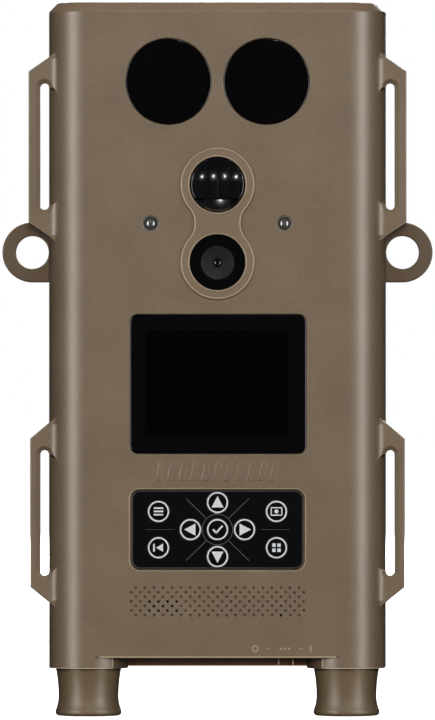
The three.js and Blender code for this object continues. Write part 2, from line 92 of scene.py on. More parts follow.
bpy.context.scene.view_settings.view_transform = "Standard"
world = bpy.data.worlds.new("studio")
world.use_nodes = True
sky = world.node_tree.nodes["Background"]
sky.inputs["Color"].default_value = (1, 1, 1, 1)
seen = world.node_tree.nodes.new("ShaderNodeMapRange")      # white to look at, dim to be lit by
seen.inputs["To Min"].default_value = 0.03
seen.inputs["To Max"].default_value = 1.0
light_path = world.node_tree.nodes.new("ShaderNodeLightPath")
world.node_tree.links.new(light_path.outputs["Is Camera Ray"], seen.inputs["Value"])
world.node_tree.links.new(seen.outputs["Result"], sky.inputs["Strength"])
bpy.context.scene.world = world


def plain_nodes(name, colour, roughness):
    """A node material with one Principled shader, and that shader."""
    material = bpy.data.materials.new(name)
    material.use_nodes = True
    shader = material.node_tree.nodes["Principled BSDF"]
    shader.inputs["Base Color"].default_value = (*colour, 1)
    shader.inputs["Roughness"].default_value = roughness
    return material, shader


floor_mesh = bpy.data.meshes.new("floor")
floor_mesh.from_pydata([(-6, -6, 0), (6, -6, 0), (6, 6, 0), (-6, 6, 0)], [], [(0, 1, 2, 3)])
floor = bpy.data.objects.new("floor", floor_mesh)
floor_white, floor_shader = plain_nodes("pale_floor", (0.85, 0.85, 0.85), 0.9)
floor_shader.inputs["Emission Color"].default_value = (1, 1, 1, 1)
floor_shader.inputs["Emission Strength"].default_value = 1.0
floor_mesh.materials.append(floor_white)
floor.visible_diffuse = False                   # it shows white without lighting the underside
floor.visible_glossy = False
bpy.context.scene.collection.objects.link(floor)

# ---- Housing shells ------------------------------------------------------------------------
# The housing is moulded in two shells from mid-brown glass-filled nylon with a fine sparked
# texture. The front one carries the windows, keypad and strap loops, the rear one the lock eyes.

COLUMN_X, COLUMN_Y, COLUMN_R = 31.4, 9.6, 9.6
BORE_R = 8.5
BODY_TOP, COLLAR_Z, LIP_Z, SKIRT_Z = 173.3, 11.6, 14.35, 12.0
CHAMFER = 2.15
SPLIT_Y, HALF_GAP = 9.6, 0.15
BACK_Y, HUMP_X, HUMP_CORNER = 27.0, 22.0, 4.0
EDGE_R = 0.3                         # moulded edge radius
FRONT_WALL, CAVITY_X, CAVITY_Z = 2.2, 20.6, (18.0, 169.5)


def arc(x, y, r, start, stop, count):
    """Points at equal angles, in degrees, on a circle of radius r about (x, y)."""
    angle = np.radians(np.linspace(start, stop, count))
    return np.stack([x + r * np.cos(angle), y + r * np.sin(angle)], 1)


def rounded_rectangle(width, height, corner, x=0.0, z=0.0, count=10):
    """Outline of a rectangle whose four corners are quarter circles."""
    w, h = width / 2 - corner, height / 2 - corner
    return np.concatenate([arc(x + w, z + h, corner, 0, 90, count),
                           arc(x - w, z + h, corner, 90, 180, count),
                           arc(x - w, z - h, corner, 180, 270, count),
                           arc(x + w, z - h, corner, 270, 360, count)])


def lofted(rings):
    """Vertices and faces of a closed skin through equal rings of points, flat at both ends."""
    rings = np.array(rings, float)
    levels, count = rings.shape[:2]
    level, step = np.meshgrid(np.arange(levels - 1), np.arange(count), indexing="ij")
    after = (step + 1) % count
    quads = np.stack([level * count + step, level * count + after,
                      (level + 1) * count + after, (level + 1) * count + step], 2)
    faces = quads.reshape(-1, 4).tolist()
    faces.append(list(range(count))[::-1])
    faces.append(list(range((levels - 1) * count, levels * count)))
    return rings.reshape(-1, 3), faces


def upright(outline_at, levels):
    """A skin of plan outlines: outline_at(inset) gives X and Y, and each level is (z, inset)."""
    return lofted([np.column_stack([outline_at(inset), np.full(len(outline_at(inset)), z)])
                   for z, inset in levels])


def frontal(outline_at, levels):
    """A skin of outlines seen from the front: outline_at(inset) gives X and Z, level (y, inset)."""
    rings = []
    for y, inset in levels:
        outline = outline_at(inset)
        rings.append(np.column_stack([outline[:, 0], np.full(len(outline), y), outline[:, 1]]))
    return lofted(rings)


def turned(profile, x, z, count=48, y=0.0, along="y"):
    """A profile of (radius, position) turned about an axis along Y or Z; radius 0 closes it."""
    profile = np.array(profile, float)
    angle = np.linspace(0, 2 * math.pi, count, endpoint=False)
    rings = []
    for r, at in profile:
        r = max(r, 1e-4)
        if along == "y":
            ring = [x + r * np.cos(angle), np.full(count, y + at), z + r * np.sin(angle)]
        else:
            ring = [x + r * np.cos(angle), y + r * np.sin(angle), np.full(count, z + at)]
        rings.append(np.stack(ring, 1))
    return lofted(rings)


def ring_turned(profile, x, z, count=48, y=0.0, along="y"):
    """As turned, for a profile that closes on itself, such as a washer or a tube."""
    vertices, faces = turned(list(profile) + [profile[0]], x, z, count, y, along)
    return vertices, faces[:-2]


def box_skin(low, high):
    """The eight corners and six faces of a box, for cutting only."""
    outline = np.array([(low[0], low[2]), (high[0], low[2]), (high[0], high[2]), (low[0], high[2])])
    return frontal(lambda inset: outline, [(low[1], 0), (high[1], 0)])


def piece(name, *skins, smooth=35.0):
    """One object from closed skins in millimetres with y from the face; normals point out."""
    mesh = bpy.data.meshes.new(name)
    vertices, faces = [], []
    for points, polygons in skins:
        start = sum(len(v) for v in vertices)
        vertices.append(np.array(points))
        faces += [[start + i for i in polygon] for polygon in polygons]
    place = np.concatenate(vertices) * MM + np.array([0, FACE_Y, 0])
    mesh.from_pydata(place.tolist(), [], faces)
    obj = bpy.data.objects.new(name, mesh)
    bpy.context.scene.collection.objects.link(obj)
    tidy_mesh(mesh, smooth)
    return obj


def tidy_mesh(mesh, smooth):
    """Merges doubled points, turns faces outwards, and keeps edges over smooth degrees sharp."""
    work = bmesh.new()
    work.from_mesh(mesh)
    bmesh.ops.remove_doubles(work, verts=work.verts, dist=1e-6)
    bmesh.ops.dissolve_degenerate(work, edges=work.edges, dist=1e-7)
    bmesh.ops.recalc_face_normals(work, faces=work.faces)
    work.to_mesh(mesh)
    work.free()
    mesh.shade_smooth()
    mesh.set_sharp_from_angle(angle=math.radians(smooth))


def applied(obj, name, kind, **settings):
    """Adds a modifier with these settings and applies it to the mesh."""
    modifier = obj.modifiers.new(name, kind)
    for key, value in settings.items():
        setattr(modifier, key, value)
    graph = bpy.context.evaluated_depsgraph_get()
    result = bpy.data.meshes.new_from_object(obj.evaluated_get(graph), depsgraph=graph)
    obj.modifiers.clear()
    old = obj.data
    obj.data = result
    result.name = old.name
    bpy.data.meshes.remove(old)


def boolean(obj, skins, operation="DIFFERENCE", smooth=35.0):
    """Cuts these closed skins out of obj, or joins them to it, with the exact solver."""
    tool = piece("tool", *skins)
    applied(obj, "cut", "BOOLEAN", operation=operation, object=tool, solver="EXACT",
            use_self=operation == "UNION")
    bpy.data.objects.remove(tool)
    tidy_mesh(obj.data, smooth)


def weighted(obj):
    """Corner normals that follow the large flat faces, so that small fillets stay crisp."""
    modifier = obj.modifiers.new("normals", "WEIGHTED_NORMAL")
    modifier.keep_sharp = True
    modifier.weight = 100


def edge(near, radius, steps=5):
    """Levels of a convex edge: the inset falls from radius to 0 on a quarter circle."""
    angle = np.linspace(0, math.pi / 2, steps)
    return [(near + radius * (1 - math.cos(a)), radius * (1 - math.sin(a))) for a in angle]


def mouth(radius, depth):
    """Levels of a cutter for a recess of this depth whose mouth is rounded over by radius."""
    return [(-1.5, -radius)] + [(y, -inset) for y, inset in edge(0, radius)] + [(depth, 0.0)]


def eased(profile, ease, steps=4):
    """The same profile with each inner corner replaced by a short quadratic curve."""
    points = np.array(profile, float)
    result = [points[0]]
    for before, corner, after in zip(points, points[1:], points[2:]):
        reach_in = min(ease, 0.45 * np.linalg.norm(corner - before))
        reach_out = min(ease, 0.45 * np.linalg.norm(after - corner))
        start = corner + (before - corner) / np.linalg.norm(before - corner) * reach_in
        stop = corner + (after - corner) / np.linalg.norm(after - corner) * reach_out
        for t in np.linspace(0, 1, steps):
            result.append((1 - t) ** 2 * start + 2 * t * (1 - t) * corner + t ** 2 * stop)
    return result + [points[-1]]


LOOP_FRONT, SLOT_X, SLOT_R = 4.3, 43.1, 1.08
LOOPS = ((45.9, (116.5, 119.9, 156.6, 160.0), (123.0, 153.8)),
         (45.5, (27.7, 31.3, 67.4, 71.2), (34.1, 64.6)))

IR_X, IR_Z, IR_R = 11.9, 154.0, 10.5
PIR_Z, LENS_Z = 129.0, 110.2
BEZEL_R, WAIST_R, BEZEL_HOLE = 9.04, 5.7, 6.8
EYELET_X, EYELET_Z, EYELET_R = 16.2, 119.6, 1.85
SWITCH_X, SWITCH_Y = 16.6, 5.4
PORT_X, PORT_Y = (-18.5, 8.5), (2.9, 8.3)
SCREW_X, SCREW_Z = 17.0, (31.0, 166.0)
TRIPOD_Y = 18.5
DISPLAY_OPENING = (42.9, 33.9, 2.0, 0.15, 80.65)     # width, height, corner, x, z, as in the next
DISPLAY_PANE = (42.6, 33.6, 1.9, 0.15, 80.65)
KEYPAD_OPENING = (42.4, 19.6, 2.4, 0, 45.32)


def bezel_outline(grow, count=36):
    """Figure of eight: two circles joined by hollow fillets that touch both of them."""
    middle, half = (PIR_Z + LENS_Z) / 2, (PIR_Z - LENS_Z) / 2
    reach = BEZEL_R + WAIST_R
    waist_x = math.sqrt(reach ** 2 - half ** 2)
    lean = math.degrees(math.asin(half / reach))
    small = max(6, count // 3)
    return np.concatenate([
        arc(0, PIR_Z, BEZEL_R + grow, -lean, 180 + lean, count),
        arc(-waist_x, middle, WAIST_R - grow, lean, -lean, small)[1:-1],
        arc(0, LENS_Z, BEZEL_R + grow, 180 - lean, 360 + lean, count),
        arc(waist_x, middle, WAIST_R - grow, 180 + lean, 180 - lean, small)[1:-1]])


def round_at(x, z, r, count=72):
    """Outline of a circle, whose radius shrinks by the inset."""
    return lambda inset: arc(x, z, r - inset, 0, 360, count + 1)[:-1]


def rounded_at(width, height, corner, x, z):
    """Outline of a round-cornered rectangle that shrinks by the inset all round."""
    return lambda inset: rounded_rectangle(width - 2 * inset, height - 2 * inset,
                                           max(corner - inset, 0.02), x, z)


def strap_loop(side, outer, heights, slot):
    """A strap loop: a sloped-end ear beside the column, carried from its front to the parting
    plane, round a tall slot with round ends. The bar is bevelled towards the slot, and a hollow
    fillet runs each arm into the column."""
    low, low_outer, high_outer, high = heights
    body = COLUMN_X + COLUMN_R
    root = COLUMN_X + 5

    def ear(inset):
        k = inset * 0.8
        return np.array([(side * root, low - 4 + k), (side * body, low + k),
                         (side * (outer - inset), low_outer + k * 0.6),
                         (side * (outer - inset), high_outer - k * 0.6),
                         (side * body, high - k), (side * root, high + 4 - k)])

    def opening(inset):
        ends = [arc(SLOT_X - SLOT_R, z, SLOT_R - inset, start, start + 180, 17)
                for z, start in ((slot[1] - SLOT_R, 0), (slot[0] + SLOT_R, 180))]
        flank = np.array([(COLUMN_X + 7.1, slot[1] - 2.9), (COLUMN_X + 7.1, slot[0] + 2.9)])
        return np.concatenate([ends[0], flank, ends[1]]) * (side, 1)

    def root_fillet(inset):
        return np.concatenate([arc(40.88, LOOP_FRONT - 3, 3, 90, 138.8, 10),
                               [(38.62, LOOP_FRONT + 0.1), (40.88, LOOP_FRONT + 0.5)]]) * (side, 1)
    bevel, bevel_depth = 1.0, 0.9
    loop = piece("loop", frontal(ear, edge(LOOP_FRONT, 0.35) + [(SPLIT_Y - HALF_GAP, 0)]))
    boolean(loop, [upright(root_fillet, [(low + 0.3, 0), (high - 0.3, 0)])], "UNION")
    boolean(loop, [frontal(opening, [(0, -bevel), (LOOP_FRONT, -bevel), (LOOP_FRONT + bevel_depth, 0),
                                     (SPLIT_Y + 1, 0)])])
    return loop


def front_outline(inset):
    """Plan of the front shell: the flat face and the front quarters of both columns."""
    r = COLUMN_R - inset
    short = math.degrees(math.asin(HALF_GAP / r))
    return np.concatenate([arc(COLUMN_X, COLUMN_Y, r, -90, -short, 33),
                           arc(-COLUMN_X, COLUMN_Y, r, 180 + short, 270, 33)])


def rear_outline(inset):
    """Plan of the rear shell: the backs of both columns and the square hump between them."""
    r, corner = COLUMN_R - inset, HUMP_CORNER - inset
    short = math.degrees(math.asin(HALF_GAP / r))
    hump_x, hump_y = HUMP_X - HUMP_CORNER, BACK_Y - HUMP_CORNER
    foot = 1.5                                     # hollow fillet where the hump meets the columns
    return np.concatenate([
        arc(COLUMN_X, COLUMN_Y, r, short, 90, 33),
        arc(HUMP_X + foot - inset, COLUMN_Y + r + foot, foot, 270, 180, 6),
        arc(hump_x, hump_y, corner, 0, 90, 12),
        arc(-hump_x, hump_y, corner, 90, 180, 12),
        arc(-HUMP_X - foot + inset, COLUMN_Y + r + foot, foot, 0, -90, 6),
        arc(-COLUMN_X, COLUMN_Y, r, 90, 180 - short, 33)])


def shell_levels():
    """Heights and insets of a shell wall: eased foot, straight side, chamfered top edge."""
    return eased([(COLLAR_Z, 0.9), (COLLAR_Z, 0), (BODY_TOP - CHAMFER, 0), (BODY_TOP, CHAMFER),
                  (BODY_TOP, CHAMFER + 0.8)], 0.35)


def between_collars(far, back):
    """A cutter outline for what lies between the two round battery collars: it follows each
    collar's circle, a little inside it on the flank that faces the middle."""
    step_angle = 51.0
    flank = COLUMN_R - 0.45
    turn = -1 if back else 1
    right = np.concatenate([
        arc(COLUMN_X, COLUMN_Y, COLUMN_R, -90 * turn, (-180 + step_angle) * turn, 14),
        arc(COLUMN_X, COLUMN_Y, flank, (-180 + step_angle) * turn, -180 * turn, 14)])
    middle = COLUMN_Y + 2.0 * turn
    half = np.concatenate([[(COLUMN_X, far)], right, [(COLUMN_X - flank, middle)]])
    outline = np.concatenate([half, (half * [-1, 1])[::-1]])
    return lambda inset: outline


def tube_cutters():
    """The battery bores, right through each column, and the middle cavity between them."""
    bores = [turned([(0, -1), (BORE_R, -1), (BORE_R, 171.2), (0, 171.2)], side * COLUMN_X, 0,
                    count=64, y=COLUMN_Y, along="z") for side in (-1, 1)]
    low, high = CAVITY_Z
    return bores + [box_skin((-CAVITY_X, FRONT_WALL, low), (CAVITY_X, BACK_Y - 2, high))]


def grille_dimples():
    """Seven staggered rows of blind dimples. Those at lower left go through to the speaker, and
    one in the bottom row to the microphone."""
    pitch, row_pitch, top, r = 2.2, 1.105, 31.26, 0.33
    skins = []
    for row in range(7):
        count = 19 if row % 2 == 0 else 20
        for i in range(count):
            x = (i - (count - 1) / 2) * pitch
            z = top - row * row_pitch
            through = (row in (3, 5) and -17 < x < -9.5) or (row == 4 and -16 < x < -10)
            microphone = row == 6 and i == 16
            deep = [(FRONT_WALL + 0.3, 0)] if through or microphone else [(0.9, 0.02), (1.1, 0.2)]
            skins.append(frontal(round_at(x, z, r, 10), [(-0.5, -0.05), (0, -0.05), (0.05, 0)] + deep))
    return skins


def front_edge_cutter():
    """Rounds the long lower edge of the front panel, between the battery collars."""
    r = 0.35
    section = np.concatenate([[(-0.3, LIP_Z - 0.3), (r, LIP_Z - 0.3)],
                              arc(r, LIP_Z + r, r, 270, 180, 6), [(-0.3, LIP_Z + r)]])
    reach = 29.6
    return lofted([np.column_stack([np.full(len(section), x), section]) for x in (-reach, reach)])


def relief_ribs():
    """A plain low-relief badge: eleven slanted ribs in a row, moulded with the front face."""
    ribs, rise, half, slant = [], 0.3, 2.35, 0.9
    for x in np.linspace(-13.8, 13.8, 11):
        def outline(inset, x=x):
            w, h = 0.85 - inset, half - inset
            return np.array([(x - w - slant * 0.5, 59.6 - h), (x + w - slant * 0.5, 59.6 - h),
                             (x + w + slant * 0.5, 59.6 + h), (x - w + slant * 0.5, 59.6 + h)])
        ribs.append(frontal(outline, [(-rise, 0.26), (-rise * 0.7, 0.08), (0.1, 0)]))
    return ribs


front = piece("front_shell_moulding", upright(front_outline, shell_levels()))
boolean(front, [upright(between_collars(-2, False), [(5, 0), (LIP_Z, 0)])])
boolean(front, [front_edge_cutter()])
boolean(front, tube_cutters())
boolean(front, [frontal(round_at(side * IR_X, IR_Z, IR_R), mouth(EDGE_R, 1.35)) for side in (-1, 1)])
boolean(front, [frontal(round_at(side * IR_X, IR_Z, 8.6), [(0, 0), (FRONT_WALL + 0.2, 0)])
                for side in (-1, 1)])
boolean(front, [frontal(lambda inset: bezel_outline(0.08 - inset), mouth(0.12, 1.15))])
boolean(front, [frontal(round_at(0, z, 6.9), [(0, 0), (FRONT_WALL + 0.2, 0)]) for z in (PIR_Z, LENS_Z)])
boolean(front, [frontal(round_at(side * EYELET_X, EYELET_Z, EYELET_R, 40), mouth(0.25, FRONT_WALL + 0.2))
                for side in (-1, 1)])
boolean(front, [frontal(rounded_at(*DISPLAY_OPENING), mouth(0.22, 1.4)),
                frontal(rounded_at(*KEYPAD_OPENING), mouth(0.22, 1.8))])
boolean(front, [box_skin((-19, 0.5, 66), (19, FRONT_WALL + 0.1, 95.6)),
                box_skin((-18.6, 0.5, 36), (18.6, FRONT_WALL + 0.1, 55))])
boolean(front, grille_dimples())
boolean(front, [box_skin((SWITCH_X - 4.2, SWITCH_Y - 1.9, 5), (SWITCH_X + 4.2, SWITCH_Y + 1.9, 19)),
                box_skin((PORT_X[0], PORT_Y[0], 5), (PORT_X[1], PORT_Y[1], 19))])
LABEL_Z = 16.5


def stroke(x, z, width, height):
    """A short raised bar on the face, for the switch's symbols."""
    corner = min(width, height) * 0.45
    return frontal(rounded_at(width, height, corner, x, z), [(-0.1, 0.05), (-0.04, 0), (0.05, 0)])


def symbol_ring(x, z, r, width):
    """A raised ring on the face, for the switch's symbols."""
    return ring_turned([(r, 0.05), (r, -0.06), (r - 0.05, -0.1), (r - width + 0.05, -0.1),
                        (r - width, -0.06), (r - width, 0.05)], x, z, 28)


def switch_symbols():
    """Generic marks over the switch: a ring for off, three dots for set-up, a bar for on."""
    marks = [symbol_ring(9.1, LABEL_Z, 0.85, 0.34), stroke(22.6, LABEL_Z, 0.4, 1.7)]
    marks += [stroke(SWITCH_X - 0.3 + step, LABEL_Z, 0.6, 0.6) for step in (-1.0, 0, 1.0)]
    marks += [stroke(x, LABEL_Z, 1.1, 0.2) for x in (12.2, 20.2)]
    return marks


def joined(name, *objects):
    """One object from several, whose closed skins may pass into each other."""
    work = bmesh.new()
    for obj in objects:
        work.from_mesh(obj.data)
    mesh = bpy.data.meshes.new(name)
    work.to_mesh(mesh)
    work.free()
    result = bpy.data.objects.new(name, mesh)
    bpy.context.scene.collection.objects.link(result)
    for obj in objects:
        bpy.data.objects.remove(obj)
    mesh.shade_smooth()
    mesh.set_sharp_from_angle(angle=math.radians(35))
    return result


front = joined("front_shell_moulding", front, piece("ribs", *relief_ribs(), smooth=25),
               *[strap_loop(side, *loop) for side in (-1, 1) for loop in LOOPS])
weighted(front)


def moulded_plastic(name, colour, light, grain_mm=0.22, bump=0.12, roughness=0.42, mottle=0.1,
                    specular=0.5):
    """Sparked nylon: fine noise for the grain, a slow cloud of a lighter tone, uneven gloss."""
    material, shader = plain_nodes(name, colour, roughness)
    shader.inputs["Specular IOR Level"].default_value = specular
    nodes, links = material.node_tree.nodes, material.node_tree.links
    place = nodes.new("ShaderNodeTexCoord").outputs["Object"]

    def noise(size_mm, detail):
        node = nodes.new("ShaderNodeTexNoise")
        node.inputs["Scale"].default_value = 1 / (size_mm * MM)
        node.inputs["Detail"].default_value = detail
        links.new(place, node.inputs["Vector"])
        return node.outputs["Fac"]

    def spread(value, low, high):
        node = nodes.new("ShaderNodeMapRange")
        node.inputs["From Min"].default_value = 0.3
        node.inputs["From Max"].default_value = 0.7
        node.inputs["To Min"].default_value = low
        node.inputs["To Max"].default_value = high
        links.new(value, node.inputs["Value"])
        return node.outputs["Result"]

    speckle, cloud = noise(grain_mm * 1.8, 3), noise(14, 2)
    mixed = nodes.new("ShaderNodeMath")
    mixed.operation = "ADD"
    links.new(spread(speckle, 0, mottle * 4), mixed.inputs[0])
    links.new(spread(cloud, 0, mottle * 4), mixed.inputs[1])
    tint = nodes.new("ShaderNodeMix")
    tint.data_type = "RGBA"
    tint.inputs["A"].default_value = (*colour, 1)
    tint.inputs["B"].default_value = (*light, 1)
    links.new(mixed.outputs[0], tint.inputs["Factor"])
    links.new(tint.outputs["Result"], shader.inputs["Base Color"])
    links.new(spread(speckle, roughness - 0.06, roughness + 0.08), shader.inputs["Roughness"])
    relief = nodes.new("ShaderNodeBump")
    relief.inputs["Strength"].default_value = bump
    relief.inputs["Distance"].default_value = 0.05 * MM
    links.new(noise(grain_mm, 2), relief.inputs["Height"])
    links.new(relief.outputs["Normal"], shader.inputs["Normal"])
    return material


def srgb(red, green, blue):
    """Linear colour from 0 to 255 display values."""
    value = np.array([red, green, blue]) / 255
    return tuple(np.where(value <= 0.04045, value / 12.92, ((value + 0.055) / 1.055) ** 2.4))


def finish(obj, body, material, slot, *replaced):
    """Gives a new piece its material and body, and hides the CAD nodes it stands for. Its slot is not used.
    """
    obj.data.materials.clear()
    for layer in material if isinstance(material, list) else [material]:
        obj.data.materials.append(layer)
    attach(obj, body)
    if replaced:
        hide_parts(*replaced)


shell_brown = moulded_plastic("shell_nylon", srgb(121, 102, 80), srgb(143, 123, 98))
finish(front, "housing", shell_brown, "shell", "front_shell")

# A light brown that is painted highlight: the bright lines along the front panel's lower edge, round the foot
# of each collar, at the parting step on the collars and on the switch knob's upright edges.
edge_highlight_paint = moulded_plastic("painted_edge_highlight", srgb(206, 182, 150), srgb(218, 195, 164), bump=0.03,
                             roughness=0.35, mottle=0.05)
LIP_BEAD_X = 28.8
# A thin band under the front panel's lip in the light brown: a painted highlight along its rounded lower
# edge.
lip_highlight = piece("front_lip_bead", upright(
    lambda inset: rounded_rectangle(2 * LIP_BEAD_X - 2 * inset, 0.5 - 2 * inset, 0.1, 0, 0.19),
    [(LIP_Z - 0.07, 0.1), (LIP_Z, 0.02), (LIP_Z + 0.26, 0.0), (LIP_Z + 0.34, 0.12)]), smooth=50)
finish(lip_highlight, "housing", edge_highlight_paint, "shell")
for side_name, side in (("left", -1), ("right", 1)):
    # A thin ring round the foot of each collar in the light brown: a painted highlight on its lower edge.
    rim = [(8.7, COLLAR_Z - 0.05), (COLUMN_R - 0.12, COLLAR_Z - 0.05), (COLUMN_R + 0.03, COLLAR_Z + 0.06),
           (COLUMN_R + 0.03, COLLAR_Z + 0.18), (COLUMN_R - 0.1, COLLAR_Z + 0.3), (8.7, COLLAR_Z + 0.3)]
    collar_rim_highlight = piece(f"collar_rim_highlight_{side_name}", ring_turned(rim, side * COLUMN_X, 0, 128, COLUMN_Y, "z"))
    finish(collar_rim_highlight, "housing", edge_highlight_paint, "shell")

symbols = piece("switch_symbols", *switch_symbols(), smooth=25)
finish(symbols, "housing", moulded_plastic("symbol_paint", srgb(172, 158, 136), srgb(184, 170, 150)),
       "shell")

# ---- Rear shell ----------------------------------------------------------------------------
# The back moulding: column backs, a square hump over the electronics, a lock eye each side for
# a cable, grip grooves against the tree, four screws in counterbores and a brass tripod insert.

EYE_X, EYE_Z, EYE_R, EYE_HOLE_R = 45.1, 112.7, 7.29, 4.0
EYE_Y = (10.1, 14.1)


def lock_eye(side):
    """A ring plate whose underside runs straight into the body, with eased edges and hole."""
    def outline(inset):
        r = EYE_R - inset
        round_part = arc(side * EYE_X, EYE_Z, r, -90, 90, 40) if side > 0 else \
            arc(side * EYE_X, EYE_Z, r, 270, 90, 40)
        root = side * (COLUMN_X + 6)
        return np.concatenate([round_part, [(root, EYE_Z + r), (root, EYE_Z - r)]])
    near, far = EYE_Y
    ease = 0.4
    levels = edge(near, ease) + [(near + far - y, inset) for y, inset in edge(near, ease)[::-1]]
    plate = piece("eye", frontal(outline, levels))
    r = EYE_HOLE_R
    hole = [(near - 1, -ease), (near, -ease), (near + 0.12, -0.12), (near + ease, 0),
            (far - ease, 0), (far - 0.12, -0.12), (far, -ease), (far + 1, -ease)]
    boolean(plate, [frontal(round_at(side * EYE_X, EYE_Z, r, 64), hole)])
    return plate


def collar_sector(side, start, stop, radius):
    """Part of a collar's skin between two angles, where the rear shell wraps round to the front."""
    def outline(inset):
        outer = arc(COLUMN_X, COLUMN_Y, radius, 180 - stop, 180 - start, 24)
        inner = arc(COLUMN_X, COLUMN_Y, COLUMN_R - 0.4, 180 - start, 180 - stop, 24)
        return np.concatenate([outer, inner]) * (side, 1)
    return upright(outline, [(COLLAR_Z + 0.06, 0), (LIP_Z - 0.12, 0)])


def tree_grooves():
    """Cutters for two upright rows of short grooves in the hump, for grip on bark."""
    grooves = []
    for z in np.arange(48, 148, 4.0):
        for x in (-9.5, 9.5):
            def outline(inset, x=x, z=z):
                return rounded_rectangle(9 - 2 * inset, 1.8 - 2 * inset, 0.5, x, z, 4)
            grooves.append(frontal(outline, [(BACK_Y - 0.9, 0), (BACK_Y + 1, 0)]))
    return grooves


def screw_post(x, z):
    """A hollow post behind the rear wall that takes a screw, open at the counterbore."""
    return ring_turned([(1.7, SPLIT_Y + HALF_GAP), (3.6, SPLIT_Y + HALF_GAP), (3.6, BACK_Y - 0.6),
                        (2.95, BACK_Y - 0.6), (2.95, BACK_Y - 2.5), (1.7, BACK_Y - 2.5)], x, z, 32)


SCREWS = [(side * SCREW_X, z) for z in SCREW_Z for side in (-1, 1)]
rear = piece("rear_shell_moulding", upright(rear_outline, shell_levels()))
boolean(rear, [upright(between_collars(50, True), [(5, 0), (SKIRT_Z, 0)])])
boolean(rear, tube_cutters())
boolean(rear, tree_grooves())
boolean(rear, [frontal(round_at(x, z, 2.95, 32), [(BACK_Y - 2.2, 0), (BACK_Y - 0.3, 0),
                                                 (BACK_Y - 0.05, -0.2), (BACK_Y + 1, -0.3)])
               for x, z in SCREWS])
boolean(rear, [turned([(0, 5), (5.1, 5), (5.1, SKIRT_Z), (4.8, SKIRT_Z + 0.3), (4.8, 20.9), (0, 20.9)],
                      0, 0, 48, y=TRIPOD_Y, along="z")])
rear = joined("rear_shell_moulding", rear, piece("posts", *[screw_post(x, z) for x, z in SCREWS]),
              lock_eye(-1), lock_eye(1))
weighted(rear)
# The rear shell takes a darker brown than the front shell although both are the same nylon: painted shade for
# the shadow on the lock eyes behind the columns and loops. The collar wraps take a darker brown still,
# painted shade on their steep flanks.
rear_painted_shade = moulded_plastic("rear_nylon_painted_shade", srgb(88, 67, 42), srgb(104, 83, 56), roughness=0.55)
collar_painted_shade = moulded_plastic("collar_nylon_painted_shade", srgb(76, 57, 32), srgb(90, 71, 46), roughness=0.55)
skirt_painted_glow = moulded_plastic("skirt_painted_bounce_light", srgb(150, 98, 56), srgb(164, 112, 70), roughness=0.55)
finish(rear, "housing", [rear_painted_shade, skirt_painted_glow], "rear_plastic", "rear_shell")
# The low upright band between the collars is given a lighter, warmer brown under the front shell's lip: a
# painted glow for light bounced there.
SKIRT_TOP, SKIRT_REACH = 30 * MM, 30 * MM
in_painted_glow = [p.center.z < SKIRT_TOP and abs(p.normal.z) < 0.5 and abs(p.center.x) < SKIRT_REACH
            and p.center.y < 0 for p in rear.data.polygons]
rear.data.polygons.foreach_set("material_index", np.array(in_painted_glow, np.int32))

for side_name, side in (("left", -1), ("right", 1)):
    wrap = piece(f"collar_wrap_{side_name}", collar_sector(side, -51.3, 12, COLUMN_R + 0.1), smooth=40)
    finish(wrap, "housing", collar_painted_shade, "rear_plastic")
    # A narrow strip of the light brown at the parting step on each collar: a painted highlight along that
    # edge.
    step = piece(f"collar_step_highlight_{side_name}", collar_sector(side, -52.8, -51.3, COLUMN_R + 0.16), smooth=40)
    finish(step, "housing", edge_highlight_paint, "shell")

# ---- Windows of the infra-red flash and the display ----------------------------------------
# Black acrylic panes, glued on a ledge just below the face. The display's pane is printed black
# round the lit area, which shows a shade deeper than the printed border.


def gloss_plastic(name, colour, roughness=0.09, haze_mm=6, coat=0.0):
    """Polished plastic or glass print: nearly even colour, with faint uneven polish."""
    material, shader = plain_nodes(name, colour, roughness)
    nodes, links = material.node_tree.nodes, material.node_tree.links
    shader.inputs["Coat Weight"].default_value = coat
    cloud = nodes.new("ShaderNodeTexNoise")
    cloud.inputs["Scale"].default_value = 1 / (haze_mm * MM)
    cloud.inputs["Detail"].default_value = 3
    links.new(nodes.new("ShaderNodeTexCoord").outputs["Object"], cloud.inputs["Vector"])
    polish = nodes.new("ShaderNodeMapRange")
    polish.inputs["To Min"].default_value = roughness * 0.8
    polish.inputs["To Max"].default_value = roughness * 1.3
    links.new(cloud.outputs["Fac"], polish.inputs["Value"])
    links.new(polish.outputs["Result"], shader.inputs["Roughness"])
    tint = nodes.new("ShaderNodeMix")
    tint.data_type = "RGBA"
    tint.inputs["A"].default_value = (*colour, 1)
    tint.inputs["B"].default_value = (*[min(1, c * 1.35) for c in colour], 1)
    links.new(cloud.outputs["Fac"], tint.inputs["Factor"])
    links.new(tint.outputs["Result"], shader.inputs["Base Color"])
    return material


black_acrylic = gloss_plastic("black_acrylic", (0.0012, 0.0011, 0.0012))
for side_name, side in (("left", -1), ("right", 1)):
    pane = piece(f"ir_pane_{side_name}", frontal(round_at(side * IR_X, IR_Z, IR_R - 0.12, 96),
                                                 edge(0.22, 0.18) + [(1.15, 0)]), smooth=30)
    weighted(pane)
    finish(pane, "housing", black_acrylic, "gloss_black", f"ir_window_{side_name}")

